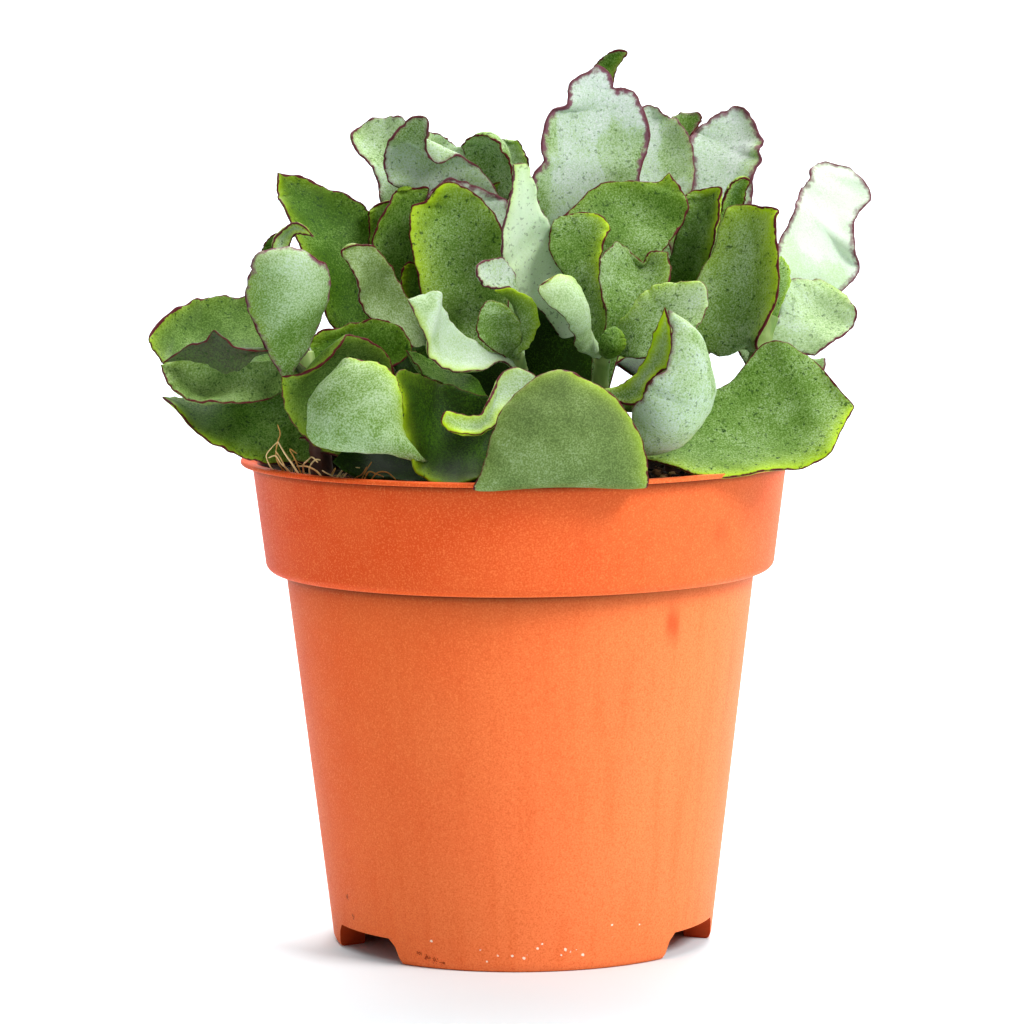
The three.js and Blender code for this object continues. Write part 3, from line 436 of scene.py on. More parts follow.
    [(17, -25, 129.5), (16.8, -27, 131.5), (18, -28, 133.5)],
    (20, -28, 134.3),
    [(21.5, -27, 129.3), (22.4, -28, 130.8), (22, -28, 132.5)],
    (-1.2, -1.6, -1), (0, 1, 0)),
  ("d6", "roseb", 0.7,
    [(14, -9, 145.5), (10, -7.5, 151), (9, -6, 155.5), (12, -4.5, 158.5), (15, -2.5, 161.5),
     (18.5, -1, 163.5), (23, -0.5, 164), (27.5, 0, 163.5), (30, 0, 163.5)],
    (32.5, 0, 165.5),
    [(29, -9, 146.5), (32, -7.5, 150.5), (34.5, -6, 154), (36.5, -5, 158.5), (35, -2.5, 162)],
    (1, 3, 1), (0.3, 2, 0.4)),
  ("c8", "tall", 0.45,
    [(2.5, -5.5, 138.5), (-0.5, -8, 141), (-1.5, -9, 143.5), (-1.5, -10, 145), (-3, -11, 146),
     (-3.5, -12.5, 149), (-3.5, -13.5, 152.5), (-2.5, -14.5, 157), (-1.5, -15, 161.5), (-1, -15, 165)],
    (-1, -15, 168),
    [(13.5, -1.5, 140), (11, -3.5, 144), (9, -5.5, 147), (7, -7.5, 151), (7, -8.5, 154), (6, -10, 156.5),
     (5, -10.5, 158), (4, -12, 162.5), (3, -13.5, 165.5), (2, -14.5, 168)],
    (1, 2, 1), (0.2, 3, 0.4)),
  ("d1", "tall", 0.8,
    [(6, 4, 153), (3.7, 1.5, 158.5), (3.3, 0, 165.5), (5.5, 0.5, 168), (5, 1, 171), (6, 2, 176),
     (7.5, 3, 179), (10, 3.5, 179.5), (11, 4, 181.5), (11, 5, 184), (13, 6, 186), (16, 7, 187.5)],
    (17.5, 7.5, 188.5),
    [(23, 8, 150.5), (26, 7.5, 158.5), (27, 7.5, 167), (28.5, 8, 170.5), (28.5, 8, 175), (27, 8.5, 179.5),
     (25.5, 9, 182.5), (23, 9, 183.5), (21, 8.5, 183.5), (20.5, 8.5, 186)],
    (2, 3, 1), (0.25, 3, 0.4)),
  ("d2", "tall", 0.95,
    [(15, 11, 176), (16, 12, 184), (17, 12, 188.5), (18.5, 11.5, 190), (20, 11, 191)],
    (22, 10, 191.5),
    [(19, 12, 175), (20.5, 13, 181.5), (21, 12.5, 184.5), (21.5, 12, 187), (23, 10.5, 189.5),
     (24, 10, 191)],
    (0.5, 0.5, 0.5), (0, 1, 0)),
  ("d3", "tall", 0.75,
    [(24, 14, 160), (24.5, 19, 170), (26.5, 23, 178)],
    (28.5, 24, 179.5),
    [(36, 12.5, 157), (38.5, 14.5, 163), (38.5, 16, 167.5), (38, 18, 171.5), (36, 20, 175), (34, 22, 177),
     (32, 22.5, 177.5), (30.5, 23.5, 179)],
    (2, 3, 2), (0.5, 3, 0.4)),
  ("d12", "rear", 0.75,
    [(32.5, 6, 146), (34.5, 3, 153), (36.5, 2, 157.5), (36, 2, 160.5)],
    (37.5, 2, 161.5),
    [(40.5, 1.5, 145), (42, -2, 151), (43, -3, 156.5), (43, -3, 159.5), (43.5, -2.5, 162),
     (40.5, 0.5, 162)],
    (2, 3, 2), (0.2, 2, 0.2)),
  ("d4", "rear", 0.95,
    [(38, 22, 158), (38.5, 25.5, 166), (38, 28.5, 172), (39, 29.5, 173.5), (41, 30, 175),
     (43.5, 30.5, 177), (46, 31, 178)],
    (48, 31, 179),
    [(51, 18, 157), (51.5, 19.5, 162), (52, 20.5, 165), (53.5, 21.5, 167.5), (53, 22.5, 169.5),
     (54, 23.5, 171), (53, 26, 173.5), (51.5, 28.5, 177), (50, 29.5, 178.5)],
    (2, 3, 2), (0.15, 3, 0.3)),
  ("d5", "rear", 0.9,
    [(32, 25.5, 158.5), (34, 32.5, 170.5), (35, 35.5, 177)],
    (37, 36, 177.5),
    [(38, 26, 158.5), (38, 32, 171.5), (40, 33.5, 174.5), (41, 34, 176.5)],
    (1, 2, 1), (0.6, 3, 0.3)),
  ("d13", "rear", 0.85,
    [(43.5, 7, 155), (44.5, 5, 160), (45.5, 3.5, 162), (47, 3, 163.5)],
    (48.5, 3, 164),
    [(47.5, 9, 152.5), (49, 6.5, 159), (49.5, 5, 161.5), (50, 4, 163.5)],
    (1, 2, 1), (0.2, 2, 0.3)),
  ("e1", "right", 0.8,
    [(48, -6.5, 128), (44.5, -7, 126.5), (41, -7, 127), (38, -7.5, 129.5), (36, -8, 135.5),
     (38, -7.5, 143.5), (41.5, -6, 149), (43, -6, 154.5), (45, -6, 158)],
    (49, -8.5, 159),
    [(50.5, -16.5, 131), (52.5, -17, 134.5), (54.5, -17.5, 139), (55, -18, 144), (54.5, -16.5, 150.5),
     (54.5, -15.5, 155), (55, -14.5, 158), (52, -11.5, 158.5)],
    (2, 4, 2), (0.4, 2, 0.4)),
  ("e2", "right", 0.95,
    [(56.5, 6, 150), (59, 10, 155), (60.5, 13, 158.5), (62, 16.5, 161.5), (63.5, 18, 163),
     (64, 20.5, 165.5), (65.5, 22.5, 166.5)],
    (69, 24, 166.5),
    [(64.4, 8, 137.6), (70.4, 10, 139.2), (71.9, 11, 140.7), (74.3, 12, 143.3), (73.5, 10, 147),
     (73, 13, 151), (73.5, 15.5, 154.5), (75.5, 17, 157), (77.5, 19, 159.5), (76, 21, 162.5),
     (73, 24, 165)],
    (1, 2, 2), (0.6, 3, 0.3)),
  ("e3", "right", 0.9,
    [(55.5, -4, 134.5), (56, -2.5, 138.5), (58.5, 1.5, 142), (61.5, 3.5, 142.5), (65, 4.5, 142)],
    (69.5, 3, 139.5),
    [(58.5, -7.5, 127.5), (63, -8, 126.5), (67, -8, 129.5), (71, -5, 132), (72.5, -3.5, 134.5),
     (71.5, -1, 137.5)],
    (1, 3, 1), (0.5, 2, 0.3)),
  ("e7", "right", 0.97,
    [(54.2, -8, 139), (54, -10, 143), (54.5, -10, 146.5)],
    (56, -9, 148),
    [(56.5, -6, 138), (58, -7, 142), (57.7, -8, 145.5)],
    (0.5, 0.5, 0.5), (0, 1, 0)),
  ("a1", "mid", 0.5,
    [(-40, -8, 134), (-43.5, -8, 144), (-46, -7.5, 150), (-48.5, -4.5, 155.5), (-51, -1.5, 160.5),
     (-51.5, 1, 163)],
    (-51.5, 3, 166),
    [(-25.5, 6, 143.5), (-28.5, 6, 152), (-32, 6, 157.5), (-36, 6, 160.5), (-41.5, 6, 163),
     (-47, 5, 165)],
    (2, 3, 2), (0.5, 3, 0.4)),
  ("c3", "mid", 0.35,
    [(-24, -15.5, 131), (-30.5, -18.5, 135), (-33, -20, 138.5), (-33.5, -21.5, 142), (-35, -22, 146.5),
     (-37, -22, 150.5)],
    (-35.5, -22, 151),
    [(-20, -7.5, 132.5), (-21.5, -10.5, 137), (-24, -13.5, 141), (-26, -15.5, 145), (-28, -18, 148.5),
     (-30, -19.5, 151), (-33, -20.5, 151.5)],
    (1, 2, 1), (0.3, 3, 0.4)),
  ("c1", "mid", 0.6,
    [(-29, -3, 140), (-31, -3.5, 147), (-31, -4, 151.5), (-29.5, -3.5, 156), (-27.5, -2.5, 159.5),
     (-26, -1.5, 162)],
    (-24.5, -1, 162),
    [(-17, 0, 140), (-18, 1.5, 149), (-19, 1.5, 155.5), (-19, 1, 160), (-19, 1, 162.5), (-22, 0, 162.5)],
    (1, 2, 1), (0.3, 3, 0.4)),
  ("c9", "mid", 0.7,
    [(-18, 1, 148), (-20, -0.5, 155.5), (-20, -1, 159.5), (-19, -0.5, 161.5), (-17, -0.5, 163)],
    (-14.5, 0, 164.5),
    [(-4.5, 2, 146), (-2, 3, 153.5), (-2, 3, 159.5), (-5, 2.5, 161), (-9, 2, 163), (-12.5, 2, 164)],
    (1, 2, 1), (0.3, 3, 0.4)),
  ("b1", "mid", 0.85,
    [(-27, 10.5, 154), (-30, 13, 160), (-30.5, 15, 164), (-32.5, 17, 167.5), (-35.5, 19, 171)],
    (-36, 20.5, 173.5),
    [(-18, 12, 156), (-19, 16.5, 167), (-23, 22.5, 176), (-25.5, 24, 177), (-28, 24.5, 177.5),
     (-31.5, 25, 177), (-34, 25, 175.5)],
    (2, 3, 2), (0.6, 3, 0.4)),
  ("b2", "mid", 0.95,
    [(-22.5, 3, 158), (-25, 2, 162), (-27.5, 1, 164), (-28.5, -0.5, 166.5), (-28.5, -1.5, 169),
     (-28, -3, 171.5), (-26.5, -5, 174), (-24.5, -5.5, 176), (-23, -6, 177.5)],
    (-21, -6.5, 178),
    [(-4, 4, 160.5), (-5.5, 3, 163.5), (-8, 2, 166.5), (-11, 1, 168.5), (-13, 0, 169.5),
     (-15.5, -1, 168.5), (-18, -2, 168), (-19.5, -4, 171.5), (-19, -6, 174.5), (-19, -7, 177.5)],
    (2, 4, 2), (0.6, 3, 0.4)),
  ("b3", "mid", 0.97,
    [(-15, 4, 161), (-18, 3, 166), (-19, 3, 169), (-19.5, 3, 171.5)],
    (-19, 4, 174.5),
    [(-8.5, 7, 160), (-10, 8, 166), (-12, 9, 170.5), (-14, 9, 172), (-16, 7, 173.5)],
    (1, 2, 1), (0.4, 3, 0.4)),
  ("b4", "mid", 0.98,
    [(-12, 6, 161), (-12.5, 8, 167), (-12.5, 9, 170.5), (-11, 7, 172.5), (-9, 4, 173.5)],
    (-7.5, 2, 173.5),
    [(-2.5, 6, 158.5), (-1, 3, 163.5), (-1.5, 1, 167.5), (-3, -1, 170), (-4, -1, 172), (-5.5, 0, 173)],
    (2, 4, 2), (0, 3, 0.4)),
  ("b5", "mid", 0.96,
    [(-4.5, 12, 160), (-4, 15.5, 167), (-4.5, 17.5, 171.5), (-3, 18, 172.5)],
    (-2, 18, 172),
    [(1.5, 10, 158), (2.5, 12, 163.5), (2.5, 14, 167.5), (1.5, 15.5, 170), (0, 17, 172)],
    (1, 2, 1), (0.3, 3, 0.4)),
  ("i1", "front", 0.95,
    [(-4, -20, 117.5), (-10.5, -20, 117.5), (-16.5, -20, 118), (-23, -20, 120.5)],
    (-26.5, -20, 126),
    [(-1.5, -18, 126.5), (-6, -18, 128.5), (-12, -18, 129.5), (-17.5, -18, 130), (-22.5, -18, 129.5)],
    (1, 1, 1), (0.3, 2, 0.1)),
  ("i2", "rosea", 0.4,
    [(4.5, 0, 118), (0.5, 0, 123), (-0.5, 0, 128), (-0.5, 1, 133)],
    (1, 2, 138),
    [(17.5, 2, 118.5), (18.5, 2, 124), (16.5, 2, 129.5), (13, 2, 134.5), (8, 2, 138)],
    (1, 1, 1), (0.3, 2, 0.1)),
  ("i3", "front", 0.1,
    [(-10.5, -42, 103), (-16.5, -44, 103.5), (-23, -45, 104), (-29.5, -45, 104.5), (-35, -44, 105.5)],
    (-38.5, -43, 108),
    [(-10.5, -34, 107.5), (-16.5, -34, 108.5), (-24, -34, 109), (-30.5, -35, 110), (-36, -38, 110)],
    (1, 2, 1), (0.2, 2, 0.1)),
  ("a7", "left", 0.95,
    [(-54.5, -12, 145), (-54.5, -12, 149.5), (-54, -12, 151), (-52.5, -12, 153)],
    (-50, -13, 154),
    [(-50.5, -13, 145), (-51, -13, 149), (-50.5, -13, 151.5)],
    (1, 1, 1), (0, 1, 0)),
  ("a8", "left", 0.85,
    [(-51, -36, 130), (-54, -37, 129.5), (-56, -38, 128), (-58, -38, 126.5), (-60.5, -38, 126),
     (-63.5, -37, 127), (-65.5, -37, 128), (-69, -36, 128.5)],
    (-74, -35, 128),
    [(-51, -36, 130.5), (-54, -38, 130.5), (-56, -40, 131), (-58.5, -41, 131.5), (-60.5, -42, 133.5),
     (-63, -42, 135), (-64.5, -41, 133), (-68, -39, 132), (-71, -37, 130)],
    (1, 1, 1), (0, 1, 0)),
  ("b6", "mid", 0.8,
    [(-8.5, 6, 155.5), (-7, 5, 162), (-4, 5, 163.5)],
    (-1, 5, 164),
    [(-2.5, 6, 154.5), (-1, 6, 158.5), (-1, 6, 162)],
    (1, 1, 1), (0, 1, 0)),
  ("c10", "mid", 0.5,
    [(-32.5, 2, 147), (-32, 2, 151.5), (-32, 2, 155), (-32, 2, 157.5)],
    (-30, 2, 159),
    [(-27, 2, 146.5), (-27.5, 2, 152.5), (-27, 2, 157), (-27, 2, 159.5)],
    (1, 1, 1), (0, 1, 0)),
  ("c11", "rosea", 0.7,
    [(-23, -7, 138), (-25, -7, 141), (-25, -7, 143.5), (-24.5, -7, 146)],
    (-23, -7, 147),
    [(-19.5, -6, 137), (-19.5, -6, 141), (-20, -6, 145)],
    (1, 1, 1), (0, 1, 0)),
]

# Plain leaves, which fill the back and the depth of the plant: name, stem, place on the stem,
# heading and rise in degrees, length, width, roll in degrees and sag of the tip
PLAIN_LEAVES = [
  ("p01", "back_left", 0.4, 188, 15, 35, 24, 0, 2),
  ("p02", "back_left", 0.45, 20, 25, 19, 17, 0, 2),
  ("p03", "back_left", 0.62, 100, 25, 31, 25, 10, 4),
  ("p04", "back_left", 0.65, 275, 20, 18, 16, 0, 2),
  ("p05", "back_left", 0.84, 150, 40, 32, 23, -10, 3),
  ("p06", "back_left", 0.86, 330, 48, 20, 15, 0, 0),
  ("p07", "back_left", 0.97, 60, 60, 24, 17, 0, 0),
  ("p08", "back_left", 0.97, 240, 60, 18, 13, 0, 0),
  ("p09", "back_mid", 0.4, 78, 14, 28.5, 22, 0, 3),
  ("p10", "back_mid", 0.45, 250, 12, 24, 18, 0, 1),
  ("p11", "back_mid", 0.64, 160, 25, 28, 22, -8, 2),
  ("p12", "back_mid", 0.66, 335, 28, 21, 16, 0, 2),
  ("p13", "back_mid", 0.84, 105, 45, 30, 23, 0, 3),
  ("p14", "back_mid", 0.86, 285, 55, 20, 15, 0, 0),
  ("p15", "back_mid", 0.97, 30, 62, 24, 16, 0, 0),
  ("p16", "back_mid", 0.97, 205, 60, 17, 12, 0, 0),
  ("p17", "back_right", 0.4, 62, 14, 24, 21, 0, 3),
  ("p18", "back_right", 0.48, 325, 8, 30, 20, 0, 2),
  ("p19", "back_right", 0.66, 125, 30, 25, 20, 8, 2),
  ("p20", "back_right", 0.84, 355, 38, 32, 22, 0, 3),
  ("p21", "back_right", 0.86, 190, 50, 17, 13, 0, 0),
  ("p22", "back_right", 0.97, 85, 58, 26, 19, 0, 1),
  ("p23", "back_right", 0.97, 265, 62, 17, 12, 0, 0),
  ("p24", "mid", 0.25, 165, 12, 28, 20, 0, 2),
  ("p25", "mid", 0.3, 345, 10, 18, 15, 0, 1),
  ("p26", "left", 0.75, 125, 30, 26, 18, 0, 2),
  ("p27", "right", 0.4, 10, 12, 22, 16, 0, 2),
  ("p28", "right", 0.75, 80, 35, 24, 17, 0, 2),
  ("p29", "rear", 0.3, 350, 12, 20, 15, 0, 2),
  ("p30", "tall", 0.25, 200, 15, 20, 16, 0, 1),
  ("p31", "rosea", 0.3, 215, 8, 18, 13, 0, 1),
  ("p32", "rosea", 0.45, 30, 15, 13, 11, 0, 1),
  ("p33", "roseb", 0.6, 330, 20, 17, 13, 0, 1),
  ("p34", "tall", 0.5, 75, 35, 24, 17, 0, 2),
  ("p35", "tall", 0.65, 130, 45, 28, 19, 0, 3),
  ("p36", "mid", 0.5, 165, 40, 24, 18, 0, 2),
  ("p37", "mid", 0.65, 70, 40, 26, 19, 0, 2),
  ("p38", "rear", 0.5, 60, 45, 26, 16, 0, 2),
  ("p39", "rear", 0.6, 75, 45, 28, 20, 0, 3),
  ("p40", "mid", 0.8, 100, 50, 26, 18, 0, 2),
  ("p41", "tall", 0.9, 90, 55, 30, 20, 0, 3),
  ("p42", "left", 0.5, 95, 15, 16, 14, 0, 1),
  ("p43", "right", 0.55, 55, 25, 26, 19, 0, 2),
  ("p44", "rear", 0.8, 110, 45, 26, 18, 0, 2),
  ("p45", "mid", 0.95, 125, 60, 26, 18, 0, 3),
  ("p46", "tall", 0.38, 335, 12, 16, 13, 0, 1),
  ("p47", "back_right", 0.75, 50, 40, 26, 19, 0, 2),
]

# Margin points of a plain leaf: share of the length and of half the width; its hollow; its wave's
# height and beats, and how much later the wave starts than the one of the leaf before
PLAIN_OUTLINE = ((0.34, 0.7), (0.64, 1), (0.9, 0.74))
PLAIN_HOLLOW = (1.2, 2, 1)
PLAIN_WAVE = 1.1
PLAIN_BEATS = 2
PLAIN_START = 0.37

# Looks that a plain leaf draws: its least bloom, the range of its bloom, and its most mauve
PLAIN_BLOOM = 0.34
BLOOM_RANGE = 0.3
PLAIN_MAUVE = 0.5

# Looks of a leaf: bloom at the base and at the tip from 0, deep green, to 1, chalky white; the
# yellow-green painted backlight, where light shines through, at the left margin, at the right one and
# at the tip; mauve of the margin. A plain leaf that isn't here draws its own
# a8, h1, i1, i2, i3 and p19 have almost no bloom: their deep green is painted shade, deep in the plant
LOOKS = {
  "a1": (0.32, 0.26, 0.35, 0.1, 0.5, 0.1),
  "a2": (0.44, 0.74, 0.5, 0, 0.1, 0.97),
  "a3": (0.74, 0.7, 0.7, 0.7, 0.7, 0.2),
  "a4": (0.34, 0.38, 0.1, 0.15, 0.6, 0.1),
  "a5": (0.4, 0.44, 0, 0, 0.2, 0.1),
  "a6": (0.46, 0.28, 0.6, 0, 0.5, 0.1),
  "a7": (0.3, 0.4, 0, 0, 0, 0.2),
  "a8": (0.04, 0.08, 0, 0, 0, 0),
  "b1": (0.72, 0.74, 0, 0, 0.3, 0.5),
  "b2": (0.78, 0.74, 0, 0, 0.1, 0.5),
  "b3": (0.65, 0.7, 0.3, 0, 0.1, 0.1),
  "b4": (0.56, 0.58, 0, 0, 0.4, 0),
  "b5": (0.6, 0.7, 0, 0.6, 0.5, 0),
  "b6": (0.36, 0.4, 0.3, 0, 0.5, 0),
  "c1": (0.4, 0.42, 0.1, 0, 0.6, 0.1),
  "c2": (0.46, 0.46, 0.8, 0.1, 0.9, 0.2),
  "c3": (0.56, 0.52, 0, 0.1, 0.4, 0.3),
  "c4": (0.78, 0.82, 0.8, 0, 0, 0.2),
  "c5": (0.6, 0.48, 0, 0.7, 0.6, 0),
  "c6": (0.5, 0.58, 0, 0.2, 0, 0),
  "c7": (0.8, 0.84, 0.2, 0, 0.2, 0.3),
  "c8": (1, 1, 0.3, 0, 0.8, 0.1),
  "c9": (0.85, 0.9, 0, 0, 0, 0.9),
  "c10": (0.4, 0.44, 0.3, 0, 0.6, 0.1),
  "c11": (0.18, 0.26, 0.5, 0, 0.5, 0.1),
  "d1": (0.76, 1, 0.1, 0, 0, 1),
  "d2": (0.4, 0.4, 0, 0.4, 0, 0.4),
  "d3": (0.88, 0.92, 0, 0.3, 0, 0.5),
  "d4": (0.94, 0.92, 0, 0.6, 0, 0.9),
  "d5": (0.4, 0.5, 0, 0, 0, 0.6),
  "d6": (0.54, 0.38, 0.1, 0, 0.6, 0.1),
  "d7": (0.52, 0.46, 0, 1, 0.3, 0.1),
  "d8": (0.54, 0.54, 0, 0.3, 0.2, 0.2),
  "d9": (0.68, 0.68, 0, 0.3, 0.7, 0),
  "d10": (0.54, 0.74, 0.5, 0, 0.4, 0),
  "d11": (0.4, 0.44, 0, 0.4, 0, 0),
  "d12": (0.46, 0.5, 0, 1, 0.5, 0.2),
  "d13": (0.45, 0.5, 0.3, 0.3, 0.5, 0.2),
  "e1": (0.56, 0.54, 0.1, 1, 0.9, 0.3),
  "e2": (1, 1, 0.1, 0, 0, 0.8),
  "e3": (0.86, 0.66, 0, 0, 0.7, 0.4),
  "e4": (0.44, 0.5, 0, 0.9, 0.3, 0.1),
  "e5": (0.76, 0.8, 0, 0.7, 0.2, 0.6),
  "e6": (0.6, 0.6, 1, 1, 1, 0.1),
  "e7": (0.5, 0.55, 0.6, 0.6, 0.2, 0),
  "f1": (0.46, 0.38, 0.1, 0.6, 0.5, 0.4),
  "f2": (0.78, 0.56, 0.8, 0.6, 0.9, 0.1),
  "g1": (0.6, 0.62, 0, 1, 0.1, 0.3),
  "g2": (0.3, 0.32, 0.4, 0.2, 0.3, 0.1),
  "g3": (0.3, 0.34, 0.2, 0.1, 0.5, 0.1),
  "h1": (0.06, 0.08, 0.4, 0, 0.3, 0),
  "h2": (0.3, 0.4, 0, 0, 0, 0),
  "i1": (0.02, 0.06, 0, 0, 0, 0),
  "i2": (0.0, 0.04, 0, 0, 0, 0),
  "i3": (0, 0.02, 0, 0, 0, 0),
  "p19": (0.1, 0.1, 0, 0, 0, 0),
}

# How wide the dark line of the left and of the right margin is, where it isn't of width one
LINES = {
  "a1": (1.1, 2.2), "a2": (2.4, 2.2), "a4": (0.5, 2.4), "a5": (0.8, 0), "a8": (0, 0.5), "b1": (1, 1.6),
  "b2": (1.3, 1), "c3": (0.8, 0.8), "c4": (0.5, 0.2), "c5": (0.8, 0.1), "c6": (0.5, 0.2), "c8": (1.2, 0.3),
  "c9": (1, 1.6), "d1": (1.5, 2), "d4": (1.4, 1.9), "d6": (1.2, 1.2), "d8": (0.5, 0.9), "d9": (0.6, 0.3),
  "d10": (0.3, 0.5), "d11": (0, 0), "e1": (0.6, 1.5), "e2": (1.2, 1.5), "e3": (0.7, 1.2), "e4": (1.1, 0.8),
  "e5": (1.1, 1.9), "e6": (0.6, 1.2), "e7": (0, 0), "f1": (1.4, 2.1), "f2": (0.4, 1), "g1": (0.2, 2),
  "g2": (0.7, 1.3), "h1": (0.1, 0.3), "h2": (0.3, 0.3), "i1": (0, 0), "i2": (0, 0), "i3": (0, 0),
}

# How far the painted backlight reaches in from the margin as a rule, and the leaves where it reaches
# further
USUAL_REACH = 1.9
BACKLIGHT_REACH = {"a3": 3, "c2": 4.5, "d12": 3, "e1": 7, "e4": 2.6, "e6": 7, "f2": 2.6}

# How much greyish brown is mixed into a leaf that looks duller than its bloom makes it
DULL = {"a4": 0.04, "a5": 0.1, "a8": 0.13, "b2": 0.06, "c3": 0.16, "f1": 0.17, "g2": 0.06}

# Painted light: how much pale green is mixed into a leaf so that it looks more brightly lit than its bloom
# makes it
PAINTED_LIGHT = {"c4": 0.15, "c8": 0.6, "d9": 0.15, "e2": 0.3, "e3": 0.15}

# Leaves with hardly any dark specks, and the share of them that stays
FEW_SPECKS = 0.15
SMOOTH_LEAVES = ("a2", "c3", "c4", "c5", "c6", "d9", "e2", "e6", "f1", "f2", "g1")


def srgb(red, green, blue):
    """A display colour from 0 to 255 as the linear colour that shaders use."""
    def linear(value):
        share = value / 255
        return share / 12.92 if share <= 0.04045 else ((share + 0.055) / 1.055) ** 2.4
    return (linear(red), linear(green), linear(blue), 1.0)


# Colours of the leaves from deep green to chalky bloom, with the place of each
LEAF_COLOURS = (
    (0.0, srgb(24, 44, 6)),
    (0.3, srgb(60, 96, 14)),
    (0.5, srgb(104, 136, 62)),
    (0.7, srgb(156, 180, 134)),
    (0.86, srgb(174, 192, 172)),
    (1.0, srgb(196, 204, 198)),
)
# Painted backlight: yellow-green where light shines through a leaf near its margin
PAINTED_BACKLIGHT = srgb(168, 198, 10)
RIM = srgb(80, 22, 28)
MAUVE = srgb(114, 75, 86)
SPECK = srgb(30, 58, 16)
# Painted light on leaves that are to look more brightly lit
PAINTED_LIGHT_TINT = srgb(226, 250, 206)
DULL_TINT = srgb(140, 124, 116)


# Smooth lines and blades

def smooth_way(start, leave, end, arrive, f):
    """The smooth way from start to end at share f, from the slopes where it leaves and arrives."""
    return (start * (1 + 2 * f) * (1 - f) ** 2 + leave * f * (1 - f) ** 2
            + end * f * f * (3 - 2 * f) + arrive * f * f * (f - 1))


def smooth_values(values, t):
    """Values at places t on the smooth curve through evenly spaced values."""
    values = np.asarray(values, float)
    padded = np.concatenate([[2 * values[0] - values[1]], values, [2 * values[-1] - values[-2]]])
    i = np.clip(np.floor(t).astype(int), 0, len(values) - 2)
    before, start, end, after = padded[i], padded[i + 1], padded[i + 2], padded[i + 3]
    return smooth_way(start, (end - before) / 2, end, (after - start) / 2, t - i)


class Line:
    """A smooth line through points, read by share of the way in points from first to last."""

    def __init__(self, points, end=None):
        self.points = np.asarray(points, float)
        steps = np.diff(self.points, axis=0)
        self.lengths = np.maximum(np.linalg.norm(steps, axis=1), 1e-6)
        slopes = steps / self.lengths[:, None]
        before, after = self.lengths[:-1, None], self.lengths[1:, None]
        inner = (slopes[:-1] * after + slopes[1:] * before) / (before + after)
        last = slopes[-1:] if end is None else np.asarray(end, float)[None]
        self.slopes = np.concatenate([slopes[:1], inner, last])

    def at(self, share):
        """The line's points at the shares."""
        place = np.clip(share, 0, 1) * len(self.lengths)
        i = np.minimum(np.floor(place).astype(int), len(self.lengths) - 1)
        reach = self.lengths[i][:, None]
        leave, arrive = self.slopes[i] * reach, self.slopes[i + 1] * reach
        return smooth_way(self.points[i], leave, self.points[i + 1], arrive, (place - i)[:, None])


def unit(vectors):
    """The vectors at length one."""
    vectors = np.asarray(vectors, float)
    return vectors / np.maximum(np.linalg.norm(vectors, axis=-1, keepdims=True), 1e-9)


def stem_point(name, t):
    """Point of a stem's middle line at t from 0 to 1."""
    _, foot, bend, top = STEMS[name]
    foot, bend, top = (np.array(p, float) for p in (foot, bend, top))
    return foot * (1 - t) ** 2 + bend * 2 * t * (1 - t) + top * t * t


def sway(places, draw, beats):
    """A soft irregular line between about -1 and 1, the same for the same draw."""
    total = np.zeros_like(places)
    for share in (1, 1.7, 2.9):
        total += np.sin(2 * math.pi * (places * beats * share + draw.random())) / share
    return total / 1.6


def plain_row(index, name, stem, at, heading, rise, length, width, roll, sag):
    """A plain leaf in the form of a row of LEAVES."""
    base = stem_point(stem, at)
    turn, lift, lean = (math.radians(angle) for angle in (heading, rise, roll))
    along = np.array([math.cos(turn) * math.cos(lift), math.sin(turn) * math.cos(lift), math.sin(lift)])
    level = np.array([math.sin(turn), -math.cos(turn), 0])
    right = level * math.cos(lean) + np.cross(level, along) * math.sin(lean)

    def place(share, side):
        drop = np.array([0, 0, sag * share * share])
        return base + along * share * length + right * side * width / 2 - drop

    lefts = [place(share, -half) for share, half in PLAIN_OUTLINE]
    rights = [place(share, half) for share, half in PLAIN_OUTLINE]
    wave = (PLAIN_WAVE, PLAIN_BEATS, (index * PLAIN_START) % 1)
    return name, stem, at, lefts, place(1, 0), rights, PLAIN_HOLLOW, wave


def margin_distance(grid):
    """How far each point of a leaf's grid is from the nearest margin, the tip included."""
    margin = np.concatenate([grid[:, 0], grid[::-1, -1]])
    start, step = margin[:-1], np.diff(margin, axis=0)
    reach = np.maximum((step * step).sum(axis=1), 1e-9)
    away = grid.reshape(-1, 1, 3) - start
    share = np.clip((away * step).sum(axis=2) / reach, 0, 1)
    gaps = np.linalg.norm(away - share[..., None] * step, axis=2)
    return gaps.min(axis=1).reshape(grid.shape[:2])


def margin_lines(base, lefts, tip, rights, turn):
    """The left and the right margin from the stem to the tip, rounded there unless it is pointed."""
    across = unit(rights[0] - lefts[0])
    rounded = np.dot(unit(tip - lefts[-1]), unit(rights[-1] - tip)) > ROUND_TIP
    left = Line([base - across * NECK, *lefts, tip], turn if rounded else None)
    right = Line([base + across * NECK, *rights, tip], -turn if rounded else None)
    return left, right


